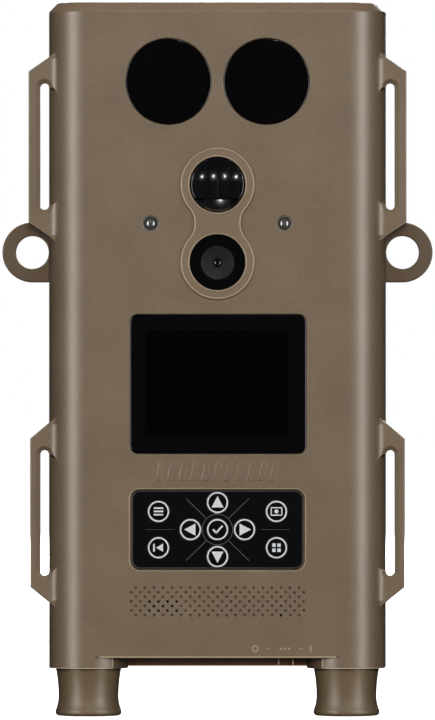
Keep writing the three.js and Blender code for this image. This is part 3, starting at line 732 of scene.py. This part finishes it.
LIT_AREA = (34.54, 25.9, -0.2, 80.8)            # width, height, x, z of the display's lit area
border_print = gloss_plastic("display_border_print", (0.002, 0.0019, 0.0022))
lit_black = gloss_plastic("display_black", (0.0003, 0.0003, 0.0004), roughness=0.05)
width, height, x, z = LIT_AREA
pane = piece("display_pane", frontal(rounded_at(*DISPLAY_PANE),
                                     edge(0.22, 0.18) + [(1.15, 0)]), smooth=30)
weighted(pane)
finish(pane, "housing", border_print, "gloss_black", "display_window")
lit = piece("display_lit_area", frontal(rounded_at(width, height, 0.25, x, z), [(0.205, 0.0), (0.3, 0.0)]))
finish(lit, "housing", lit_black, "gloss_black")

# ---- Figure-of-eight bezel -----------------------------------------------------------------
# A separate satin moulding pressed round the motion sensor and the lens. Its rim is bevelled
# outside, and each opening has a fine raised lip.

satin_brown = moulded_plastic("bezel_nylon", srgb(131, 109, 84), srgb(147, 125, 100), bump=0.05,
                              roughness=0.48, mottle=0.07)
BEZEL_PROUD = 0.8
rim_profile = eased([(0.9, 0), (-0.45, 0), (-BEZEL_PROUD + 0.2, 0.16), (-BEZEL_PROUD + 0.16, 1.3)], 0.08)
bezel = piece("lens_bezel_moulding", frontal(lambda inset: bezel_outline(-inset, 72), rim_profile), smooth=40)
for z in (PIR_Z, LENS_Z):
    boolean(bezel, [frontal(round_at(0, z, BEZEL_HOLE, 96),
                            [(-2, 0.02), (3, 0.02)])], smooth=40)
weighted(bezel)
finish(bezel, "housing", satin_brown, "bezel", "lens_bezel")
# A lighter brown for the bezel's outer bead, the lips round its openings and the bead round the keypad:
# painted highlight along their rounded edges.
painted_rim_highlight = moulded_plastic("bezel_polished_edge", srgb(172, 151, 124), srgb(186, 166, 140), bump=0.03,
                                roughness=0.36, mottle=0.05)


def ring_frontal(outline_at, levels):
    """As frontal, for levels that close on themselves, which gives a moulding round the outline."""
    vertices, faces = frontal(outline_at, list(levels) + [levels[0]])
    return vertices, faces[:-2]


outer_bead_highlight = piece("bezel_outer_bead", ring_frontal(
    lambda inset: bezel_outline(-inset, 72),
    [(-0.3, 0.0), (-0.62, 0.0), (-0.74, 0.06), (-0.8, 0.18), (-0.79, 0.34), (-0.7, 0.46),
     (-0.3, 0.5)]), smooth=60)
finish(outer_bead_highlight, "housing", painted_rim_highlight, "bezel")
for bead_name, z in (("upper", PIR_Z), ("lower", LENS_Z)):
    section = [(BEZEL_HOLE + 0.17 - 0.17 * math.cos(a), -0.62 - 0.16 * math.sin(a))
               for a in np.linspace(0, math.pi, 9)]
    bead = piece(f"bezel_{bead_name}_lip",
                 ring_turned([(BEZEL_HOLE, 0.4)] + section + [(BEZEL_HOLE + 0.34, 0.4)], 0, z, 96), smooth=60)
    finish(bead, "housing", painted_rim_highlight, "bezel")

# ---- Motion sensor dome --------------------------------------------------------------------
# A moulded black Fresnel lens: one shallow dome divided by fine seams into facets, each of them
# hollowed at its edges so that it throws its own small highlight.

DOME_R, DOME_RISE, DOME_TIP = 6.62, 2.5, -2.8
FACET_PITCH, LOW_PITCH, FACET_SPLIT, FACET_ARC = 2.76, 6.4, -3.4, 8.0
FLAT_Z = 0.7                         # below this height the tall facets stand upright


def fresnel_dome(rings=100, spokes=260):
    """Depth of the dome. Upwards it follows a sphere through the tip and the rim, the middle stands
    upright, and the low row is a prism that starts deeper and leans forward. Across, each facet
    is a shallow arc about its own middle that starts from the sphere's depth there, so that all
    facets face forward. The rim fades back to the sphere."""
    sphere = (DOME_R ** 2 + DOME_RISE ** 2) / (2 * DOME_RISE)
    r, angle = np.meshgrid(np.linspace(0, DOME_R, rings), np.linspace(0, 2 * math.pi, spokes + 1)[:-1],
                           indexing="ij")
    x, z = r * np.cos(angle), r * np.sin(angle)
    plain = DOME_TIP + sphere - np.sqrt(sphere ** 2 - r ** 2)
    low = z < FACET_SPLIT
    pitch = np.where(low, LOW_PITCH, FACET_PITCH)
    middle = np.where(low, np.round(x / pitch), np.floor(x / pitch) + 0.5) * pitch
    across = x - middle
    arc_r = np.where(low, 15, FACET_ARC)
    height = np.where(low, FLAT_Z, np.maximum(z, FLAT_Z))
    stands = np.sqrt(np.maximum(sphere ** 2 - height ** 2 - 0.75 * middle ** 2, 1))
    faceted = DOME_TIP + sphere - stands + across ** 2 / (2 * arc_r)
    below = FACET_SPLIT - z
    faceted = faceted + np.where(low, 0.75 - 0.22 * below + 0.03 * below ** 2, 0)
    seam = 0.011 * np.clip(1 - (pitch / 2 - abs(across)) / 0.12, 0, 1)
    fade = np.clip((DOME_R - r) / 0.45, 0, 1)
    y = np.maximum(plain + (faceted + seam - plain) * fade, DOME_TIP)
    outer = np.stack([x, y, z + PIR_Z], 2)
    back = np.stack([x[-1], np.full(spokes, 0.8), z[-1] + PIR_Z], 1)
    inner = np.stack([x[::-1] * 0.9, y[::-1] + 0.9, z[::-1] * 0.9 + PIR_Z], 2)
    return lofted(list(outer) + [back] + list(inner))


dome = piece("pir_dome", fresnel_dome(), smooth=22)
finish(dome, "housing", gloss_plastic("dome_black", (0.003, 0.003, 0.004), roughness=0.16, haze_mm=2),
       "gloss_black", "pir_lens")

# ---- Camera lens ---------------------------------------------------------------------------
# A flat cover glass over a black baffle, with the lens cell behind: a ribbed grey cone that
# narrows to the small front element.


def clear_glass(name, colour, opacity, roughness=0.03):
    """Coated cover glass: nearly see-through, with slight unevenness of polish."""
    material = gloss_plastic(name, colour, roughness, haze_mm=3)
    material.node_tree.nodes["Principled BSDF"].inputs["Alpha"].default_value = opacity
    return material


glass = clear_glass("cover_glass", (0.004, 0.004, 0.005), 0.25)
cover = piece("lens_cover_glass", frontal(round_at(0, LENS_Z, 6.72, 96), edge(-0.3, 0.12) + [(0.4, 0)]),
              smooth=30)
weighted(cover)
finish(cover, "housing", glass, "clear", "lens_window")

CELL_Z = LENS_Z - 0.15
cone = [(6.75, 9), (6.75, 1.25), (4.1, 1.25), (4.05, 0.95), (3.75, 0.95), (3.7, 1.12)]
for step in range(5):
    r = 3.7 - step * 0.48
    cone += [(r - 0.06, 1.14 + step * 0.14), (r - 0.42, 1.2 + step * 0.14), (r - 0.46, 1.28 + step * 0.14)]
cone += [(1.05, 2.0), (1.0, 3.9), (1.2, 4.0), (1.2, 9)]
baffle = piece("lens_cell", ring_turned(cone, 0, CELL_Z, 96), smooth=25)
cell_black = moulded_plastic("cell_anodised", (0.034, 0.034, 0.038), (0.055, 0.055, 0.06), grain_mm=0.08,
                             bump=0.05, roughness=0.4, specular=0.3)
baffle_black = moulded_plastic("baffle_black", (0.0012, 0.0012, 0.0013), (0.002, 0.002, 0.002),
                               grain_mm=0.1, bump=0.05, roughness=0.7, specular=0.04)
# Lighter grey bands on the cone's fine turned rings are painted highlight, where the rings catch the light.
ring_painted_highlight = moulded_plastic("cell_ring_grey", (0.05, 0.05, 0.055), (0.08, 0.08, 0.085), grain_mm=0.08,
                            bump=0.05, roughness=0.35)
finish(baffle, "housing", [baffle_black, cell_black, ring_painted_highlight], "grey_plastic", "lens_barrel")
radius = np.array([math.hypot(p.center.x, p.center.z - CELL_Z * MM) for p in baffle.data.polygons]) / MM
painted_ring_bands = (radius % 0.48 < 0.16) & (radius > 1.2)           # fine turned rings catch the light
baffle.data.polygons.foreach_set("material_index", np.where(radius > 4.12, 0, 1 + painted_ring_bands).astype(np.int32))

front_glass = gloss_plastic("front_element", (0.002, 0.0018, 0.003), roughness=0.03, haze_mm=1, coat=1.0)
crown = [(0.98 * math.sin(a), 1.75 + 0.55 * (1 - math.cos(a))) for a in np.radians([15, 30, 45, 60, 75, 90])]
element = piece("lens_front_element", turned([(0, 1.75)] + crown + [(0.98, 3.4), (0, 3.4)], 0, CELL_Z, 48))
finish(element, "housing", front_glass, "clear", "lens_element")

# ---- Status light and light sensor ---------------------------------------------------------
# Two clear light pipes with round noses, each set in its own eyelet in the face.

nose = [(0, -0.1), (0.55, -0.02), (1.0, 0.2), (1.35, 0.55), (1.5, 1.0), (1.5, 2.4), (2.4, 2.4),
        (2.4, 3.4), (1.2, 3.4), (1.2, 13.9), (0, 13.9)]
washer = [(1.84, 0.35), (1.84, 1.6), (1.5, 1.6), (1.5, 0.7), (1.62, 0.35)]
pipe_glass = gloss_plastic("light_pipe", srgb(80, 79, 77), roughness=0.12, haze_mm=0.8, coat=0.6)
for name, side, core in (("status_light", -1, srgb(96, 96, 98)), ("light_sensor", 1, srgb(120, 112, 100))):
    x = side * EYELET_X
    pipe = piece(f"{name}_pipe", turned(eased(nose, 0.12), x, EYELET_Z, 40), smooth=30)
    finish(pipe, "housing", pipe_glass, "clear", name)
    collar = piece(f"{name}_collar", ring_turned(washer, x, EYELET_Z, 40), smooth=30)
    finish(collar, "housing", gloss_plastic(f"{name}_collar_grey", core, roughness=0.3, haze_mm=1), "clear")

# ---- Keypad --------------------------------------------------------------------------------
# A polished black panel let into the front, printed with thin grey guide lines. Nine round keys
# pass through it, each on its own dome switch, with a white ring and a plain symbol.

KEYPAD_Z, KEY_R, KEY_RISE = 45.4, 2.72, 0.3
PANEL_Y = 0.5
KEYPAD_PANEL = (41.6, 19.0, 2.1, 0, KEYPAD_Z)
ARROW_STEP, CORNER_KEY = 6.55, (14.3, 4.4)
PRINT_DEPTH = 0.03


def printed(outline, y):
    """A thin mark of ink: an outline of X and Z points standing just proud of depth y."""
    points = np.array(outline, float)
    return frontal(lambda inset: points, [(y - PRINT_DEPTH, 0), (y + 0.06, 0)])


def printed_ring(x, z, r, width, y):
    """A thin ring of ink of outer radius r."""
    return ring_turned([(r - width, y - PRINT_DEPTH), (r, y - PRINT_DEPTH), (r, y + 0.06),
                        (r - width, y + 0.06)], x, z, 72)


def printed_line(start, stop, width, y):
    """A straight line of ink between two points (x, z)."""
    start, stop = np.array(start, float), np.array(stop, float)
    along = (stop - start) / np.linalg.norm(stop - start)
    across = np.array([-along[1], along[0]]) * width / 2
    return printed([start - across, stop - across, stop + across, start + across], y)


def arrow(x, z, turn):
    """A solid triangle that points at turn degrees from +X."""
    tip, base = 1.55, 1.2
    corners = np.array([(tip, 0), (-base, 1.45), (-base, -1.45)])
    c, s = math.cos(math.radians(turn)), math.sin(math.radians(turn))
    return printed(corners @ np.array([(c, s), (-s, c)]) + (x, z), KEY_RISE)


def tick(x, z):
    """A tick for the confirming key."""
    return [printed_line((x - 1.1, z + 0.05), (x - 0.25, z - 0.85), 0.42, KEY_RISE),
            printed_line((x - 0.38, z - 0.85), (x + 1.2, z + 0.9), 0.42, KEY_RISE)]


def three_bars(x, z):
    """Three bars for the menu key."""
    return [printed_line((x - 1.15, z + step), (x + 1.15, z + step), 0.38, KEY_RISE)
            for step in (-0.8, 0, 0.8)]


def play_back(x, z):
    """A bar and a triangle for the replay key."""
    return [printed_line((x - 1.1, z - 0.95), (x - 1.1, z + 0.95), 0.4, KEY_RISE),
            printed([(x - 0.6, z), (x + 1.1, z - 1.0), (x + 1.1, z + 1.0)], KEY_RISE)]


def shutter(x, z):
    """A framed dot for the picture-taking key."""
    sides = [(-1.3, -0.9), (1.3, -0.9), (1.3, 0.9), (-1.3, 0.9), (-1.3, -0.9)]
    lines = [printed_line((x + a[0], z + a[1]), (x + b[0], z + b[1]), 0.28, KEY_RISE)
             for a, b in zip(sides, sides[1:])]
    return lines + [printed(round_at(x, z, 0.5, 24)(0), KEY_RISE)]


def four_squares(x, z):
    """Four squares for the mode key."""
    return [printed_line((x + i - 0.42, z + j), (x + i + 0.42, z + j), 0.84, KEY_RISE)
            for i in (-0.62, 0.62) for j in (-0.62, 0.62)]


KEYS = {
    "ok": (0, 0, tick),
    "up": (0, ARROW_STEP, lambda x, z: [arrow(x, z, 90)]),
    "down": (0, -ARROW_STEP, lambda x, z: [arrow(x, z, -90)]),
    "left": (-ARROW_STEP, 0, lambda x, z: [arrow(x, z, 180)]),
    "right": (ARROW_STEP, 0, lambda x, z: [arrow(x, z, 0)]),
    "menu": (-CORNER_KEY[0], CORNER_KEY[1], three_bars),
    "replay": (-CORNER_KEY[0], -CORNER_KEY[1], play_back),
    "shot": (CORNER_KEY[0], CORNER_KEY[1], shutter),
    "mode": (CORNER_KEY[0], -CORNER_KEY[1], four_squares),
}

keypad_black = gloss_plastic("keypad_black", (0.0035, 0.0037, 0.0045), roughness=0.14)
guide_grey = moulded_plastic("guide_ink", srgb(78, 80, 84), srgb(94, 96, 100), bump=0.02)
white_ink = moulded_plastic("white_ink", srgb(240, 241, 243), srgb(252, 252, 253), bump=0.02,
                            mottle=0.04)
panel = piece("keypad_panel", frontal(rounded_at(*KEYPAD_PANEL),
                                      edge(PANEL_Y, 0.2) + [(1.5, 0)]), smooth=30)
key_holes = [frontal(round_at(x, KEYPAD_Z + z, KEY_R + 0.13, 72), [(-1, 0), (3, 0)])
             for x, z, _ in KEYS.values()]
boolean(panel, key_holes, smooth=30)
weighted(panel)
finish(panel, "housing", keypad_black, "gloss_black", "keypad_frame")
# A ring over the panel's bevelled edge, coloured grey-brown: a painted highlight along that edge.
bevel = piece("keypad_panel_bevel_highlight", ring_frontal(rounded_at(*KEYPAD_PANEL), [
    (PANEL_Y + 0.14, -0.02), (PANEL_Y - 0.02, 0.1), (PANEL_Y - 0.02, 0.3), (PANEL_Y + 0.2, 0.3)]), smooth=40)
boolean(bevel, key_holes)
finish(bevel, "housing", moulded_plastic("bevel_painted_highlight", srgb(58, 52, 44), srgb(70, 63, 54)), "gloss_black")
# A thin bead round the keypad opening in the lighter rim colour: a painted highlight on the opening's edge.
surround = piece("keypad_surround_highlight", ring_frontal(rounded_at(*KEYPAD_OPENING), [
    (0.3, -0.02), (0.02, -0.04), (-0.04, -0.12), (-0.03, -0.24), (0.1, -0.34)]), smooth=60)
finish(surround, "housing", painted_rim_highlight, "shell")

guides = [printed_ring(0, KEYPAD_Z, 3.78, 0.16, PANEL_Y)]
for side in (-1, 1):
    for up in (-1, 1):
        guides.append(printed_line((side * 2.75, KEYPAD_Z + up * 2.75),
                                   (side * 7.6, KEYPAD_Z + up * 7.5), 0.16, PANEL_Y))
    guides.append(printed_line((side * 10.5, KEYPAD_Z), (side * 17.5, KEYPAD_Z), 0.07, PANEL_Y))
lines = piece("keypad_guide_lines", *guides, smooth=25)
finish(lines, "housing", guide_grey, "gloss_black")

key_profile = eased([(0, KEY_RISE), (KEY_R - 0.02, KEY_RISE), (KEY_R - 0.02, 2.5)], 0.1) + [(0, 2.5)]
for key_name, (x, z, symbol) in KEYS.items():
    cap = piece(f"key_{key_name}_cap", turned(key_profile, x, KEYPAD_Z + z, 72), smooth=30)
    finish(cap, f"key_{key_name}", keypad_black, "gloss_black", f"key_{key_name}")
    marks = piece(f"key_{key_name}_print", printed_ring(x, KEYPAD_Z + z, 2.58, 0.38, KEY_RISE),
                  *symbol(x, KEYPAD_Z + z), smooth=25)
    finish(marks, f"key_{key_name}", white_ink, "gloss_black")

# ---- Mode switch and port cover ------------------------------------------------------------
# Both sit in the underside: a ribbed slide knob under the switch symbols, and a soft cover
# over the sockets with a fingernail notch in its front edge.

KNOB_W, KNOB_D = 4.1, 3.2
knob_levels = [(z, inset) for z, inset in edge(12.2, 0.35)] + [(18.5, 0)]
knob = piece("mode_switch_slider",
             upright(lambda inset: rounded_rectangle(KNOB_W - 2 * inset, KNOB_D - 2 * inset, 0.45,
                                                     SWITCH_X, SWITCH_Y, 6), knob_levels), smooth=30)
# Known fault: the two rows of grooves overlap in this one cut, which removes the knob's body, so
# that the piece keeps only the stem that is joined to it next.
boolean(knob, [box_skin((SWITCH_X + step - 0.22, SWITCH_Y - 2, 10),
                        (SWITCH_X + step + 0.22, SWITCH_Y - 1.35, 19)) for step in (-1.1, 0, 1.1)]
        + [box_skin((SWITCH_X + step - 0.22, SWITCH_Y - 2, 12), (SWITCH_X + step + 0.22, SWITCH_Y + 2, 12.45))
           for step in (-1.1, 0, 1.1)], smooth=30)
boolean(knob, [box_skin((SWITCH_X - 1, SWITCH_Y - 1, 18), (SWITCH_X + 1, SWITCH_Y + 1, 21.5))], "UNION", 30)
weighted(knob)
knob_grey = moulded_plastic("knob_plastic", srgb(96, 93, 87), srgb(112, 108, 101), bump=0.05)
finish(knob, "mode_switch", knob_grey, "grey_plastic", "mode_switch_knob")
knob_front = SWITCH_Y - KNOB_D / 2
# Two thin bars of the light brown on the knob's front: painted highlights along its upright edges.
knob_highlights = piece("mode_switch_edge_highlights",
                   *[frontal(rounded_at(0.24, 1.8, 0.1, SWITCH_X + side * 1.72, 13.35),
                             [(knob_front - 0.04, 0.03), (knob_front, 0), (knob_front + 0.2, 0)])
                     for side in (-1, 1)], smooth=30)
finish(knob_highlights, "mode_switch", edge_highlight_paint, "grey_plastic")

COVER_Z = LIP_Z + 0.1
cover_size = (PORT_X[1] - PORT_X[0] - 0.6, PORT_Y[1] - PORT_Y[0] - 0.6)
cover_x, cover_y = sum(PORT_X) / 2, sum(PORT_Y) / 2
cover = piece("port_cover_flap",
              upright(lambda inset: rounded_rectangle(cover_size[0] - 2 * inset, cover_size[1] - 2 * inset,
                                                      0.6, cover_x, cover_y, 6),
                      edge(COVER_Z, 0.3) + [(COVER_Z + 1.2, 0)]),
              upright(lambda inset: rounded_rectangle(24.6 - 2 * inset, 3.3 - 2 * inset, 0.5,
                                                      cover_x, cover_y - 0.05, 6),
                      [(COVER_Z + 1.1, 0), (COVER_Z + 2.5, 0), (COVER_Z + 2.7, 0.2)]), smooth=30)
# Known fault: the flap and its plug overlap, and this cut keeps the flap but loses the plug.
boolean(cover, [box_skin((cover_x - 3, PORT_Y[0] - 1, COVER_Z - 1),
                         (cover_x + 3, PORT_Y[0] + 1.0, COVER_Z + 0.5))], smooth=30)
weighted(cover)
soft_rubber = moulded_plastic("soft_rubber", srgb(66, 56, 46), srgb(80, 69, 58), grain_mm=0.3,
                              roughness=0.75, bump=0.08)
finish(cover, "port_flap", soft_rubber, "rubber", "port_cover")

# ---- Battery caps --------------------------------------------------------------------------
# A screw cap closes each battery column and is the foot it stands on: a waisted skirt turned
# with a coin, a sealing ring in a groove, and a conical contact spring on the plug.

CAP_SHOULDER, WAIST_Z, WAIST_R = COLLAR_Z - 0.12, 4.7, 7.3
SEAL_Z, SEAL_R, SEAL_WIRE = 12.4, 6.8, 0.5
SPRING = {"low": 16.3, "rise": 1.1, "wide": 4.6, "narrow": 2.2, "turns": 2.25, "wire": 0.28}


def cap_profile():
    """Radius and height: foot lip, a flank that hollows as two parabolas that meet at the waist,
    shoulder, seal groove and plug."""
    flank = [(WAIST_R + (0.62 * ((WAIST_Z - z) / 3.2) ** 2 if z < WAIST_Z
                         else 0.66 * ((z - WAIST_Z) / 6.7) ** 2), z) for z in np.linspace(1.6, 11.3, 22)]
    return ([(0, 0), (7.1, 0)] + [(7.1 + 0.93 * math.sin(a), 0.7 - 0.7 * math.cos(a))
                                  for a in np.radians([20, 40, 60, 80])]
            + [(8.04, 0.95), (8.0, 1.3)] + flank
            + [(7.9, CAP_SHOULDER), (6.2, CAP_SHOULDER),
               (6.2, SEAL_Z + 0.7), (7.1, SEAL_Z + 0.7), (6.9, 13.9), (7.15, 14.5), (7, 15.6),
               (6.9, 15.7), (0, 15.7)])


def coil(x, y):
    """A cone of round wire: the radius shrinks evenly as the turns rise."""
    t = np.linspace(0, 1, 150)
    angle, r = t * SPRING["turns"] * 2 * math.pi, SPRING["wide"] + t * (SPRING["narrow"] - SPRING["wide"])
    rings = []
    for a, radius, rise in zip(angle, r, SPRING["low"] + t * SPRING["rise"]):
        out = np.array([math.cos(a), math.sin(a), 0])
        turn = np.linspace(0, 2 * math.pi, 12, endpoint=False)[:, None]
        centre = np.array([x, y, rise]) + radius * out
        rings.append(centre + SPRING["wire"] * (np.cos(turn) * out + np.sin(turn) * np.array([0, 0, 1])))
    return lofted(rings)


def metal(name, colour, roughness=0.3, grain_mm=0.4):
    """Plated or turned metal: a noise changes its tint and polish a little."""
    material, shader = plain_nodes(name, colour, roughness)
    shader.inputs["Metallic"].default_value = 1.0
    nodes, links = material.node_tree.nodes, material.node_tree.links
    grain = nodes.new("ShaderNodeTexNoise")
    grain.inputs["Scale"].default_value = 1 / (grain_mm * MM)
    links.new(nodes.new("ShaderNodeTexCoord").outputs["Object"], grain.inputs["Vector"])
    polish = nodes.new("ShaderNodeMapRange")
    polish.inputs["To Min"].default_value = roughness * 0.7
    polish.inputs["To Max"].default_value = roughness * 1.4
    links.new(grain.outputs["Fac"], polish.inputs["Value"])
    links.new(polish.outputs["Result"], shader.inputs["Roughness"])
    tint = nodes.new("ShaderNodeMix")
    tint.data_type = "RGBA"
    tint.inputs["A"].default_value = (*[c * 0.85 for c in colour], 1)
    tint.inputs["B"].default_value = (*[min(1, c * 1.1) for c in colour], 1)
    links.new(grain.outputs["Fac"], tint.inputs["Factor"])
    links.new(tint.outputs["Result"], shader.inputs["Base Color"])
    return material


cap_brown = moulded_plastic("cap_nylon", srgb(112, 91, 62), srgb(130, 109, 80), roughness=0.46)
seal_rubber = moulded_plastic("seal_rubber", (0.012, 0.012, 0.012), (0.02, 0.02, 0.02), roughness=0.6)
steel = metal("bright_steel", (0.56, 0.57, 0.58))
for side_name, side in (("left", -1), ("right", 1)):
    axis = side * COLUMN_X
    cap = piece(f"cap_{side_name}_moulding", turned(cap_profile(), axis, 0, 128, COLUMN_Y, "z"), smooth=30)
    boolean(cap, [upright(lambda inset: rounded_rectangle(12.4 - 2 * inset, 1.8 - 2 * inset, 0.85,
                                                          axis, COLUMN_Y, 8),
                          [(-1, -0.25), (0, -0.25), (0.25, 0), (1.6, 0)])], smooth=30)
    weighted(cap)
    finish(cap, f"cap_{side_name}", cap_brown, "rear_plastic", f"battery_cap_{side_name}")
    section = [(SEAL_R + SEAL_WIRE * math.cos(a), SEAL_Z + SEAL_WIRE * math.sin(a))
               for a in np.linspace(0, 2 * math.pi, 20, endpoint=False)]
    seal = piece(f"cap_{side_name}_ring_seal", ring_turned(section, axis, 0, 96, COLUMN_Y, "z"))
    finish(seal, f"cap_{side_name}_ring", seal_rubber, "rubber", f"cap_seal_{side_name}")
    spring = piece(f"cap_{side_name}_coil", coil(axis, COLUMN_Y), smooth=60)
    finish(spring, f"cap_{side_name}", steel, "steel", f"cap_spring_{side_name}")

# ---- Housing screws and tripod insert ------------------------------------------------------
# Four cross-head screws enter from the back. The brass insert in the underside takes a common
# quarter-inch tripod screw.

TRIPOD_PITCH = 1.27
screw_profile = [(0, FRONT_WALL + 2), (1.2, FRONT_WALL + 2.6)]
for crest in np.arange(FRONT_WALL + 3, BACK_Y - 3.4, 0.9):
    screw_profile += [(1.2, crest), (0.95, crest + 0.45)]
screw_profile += [(1.2, BACK_Y - 2.9), (1.2, BACK_Y - 2.3), (2.3, BACK_Y - 2.3), (2.48, BACK_Y - 2.15)]
screw_profile += [(2.48 * math.cos(a), BACK_Y - 1.4 + 0.8 * math.sin(a))
                  for a in np.radians([0, 20, 40, 60, 80])]
screw_profile += [(0, BACK_Y - 0.6)]
for level, z in zip(("lower", "upper"), SCREW_Z):
    for side_name, side in (("left", -1), ("right", 1)):
        x = side * SCREW_X
        screw = piece(f"screw_{level}_{side_name}", turned(screw_profile, x, z, 48), smooth=40)
        for half_w, half_h in ((1.45, 0.25), (0.25, 1.45)):
            boolean(screw, [box_skin((x - half_w, BACK_Y - 1.5, z - half_h),
                                     (x + half_w, BACK_Y, z + half_h))], smooth=40)
        finish(screw, "housing", steel, "steel", f"housing_screw_{level}_{side_name}")

bore = [(3.4, 12.1)]
for crest in np.arange(12.4, 19.2, TRIPOD_PITCH):
    bore += [(3.06, crest), (3.06, crest + 0.2), (3.45, crest + 0.62), (3.45, crest + 0.75)]
insert = piece("tripod_bush", turned([(0, 20.6), (4.35, 20.6), (4.48, 20.45), (4.48, 12.25), (4.35, 12.1)]
                                     + bore + [(3.06, 19.7), (0, 19.7)], 0, 0, 72, TRIPOD_Y, "z"), smooth=30)
finish(insert, "housing", metal("brass", (0.62, 0.45, 0.2)), "brass", "tripod_insert")

# ---- Pieces inside -------------------------------------------------------------------------
# Boards, sockets, cells and the seal between the shells keep their plain solids, because they
# show only through gaps. Each group has the finish of the real piece.

board_green = moulded_plastic("board_laminate", srgb(18, 62, 40), srgb(30, 84, 54), grain_mm=0.6,
                              roughness=0.4)
cell_sleeve = moulded_plastic("cell_sleeve", srgb(150, 152, 156), srgb(170, 172, 176), roughness=0.3,
                              bump=0.02)
dark_plastic = moulded_plastic("dark_plastic", (0.02, 0.02, 0.021), (0.035, 0.035, 0.036), roughness=0.5)
sensor_glass = gloss_plastic("filter_glass", (0.05, 0.02, 0.03), roughness=0.05, haze_mm=1, coat=1.0)
INSIDE = {
    "board": (board_green, ["sensor_board", "main_board"]),
    "dark": (dark_plastic, ["led_array", "camera_holder", "display_module", "speaker", "battery_tube"]),
    "metal": (steel, ["pir_sensor", "key_dome_sheet", "microphone", "usb_socket", "card_socket",
                      "switch_body", "battery_contact"]),
    "cell": (cell_sleeve, ["cell_left", "cell_right"]),
    "rubber": (seal_rubber, ["housing_seal"]),
    "glass": (sensor_glass, ["ir_cut_filter"]),
}
for material, beginnings in INSIDE.values():
    for node_name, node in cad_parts.items():
        if any(node_name.startswith(beginning) for beginning in beginnings):
            node.data.materials.clear()
            node.data.materials.append(material)
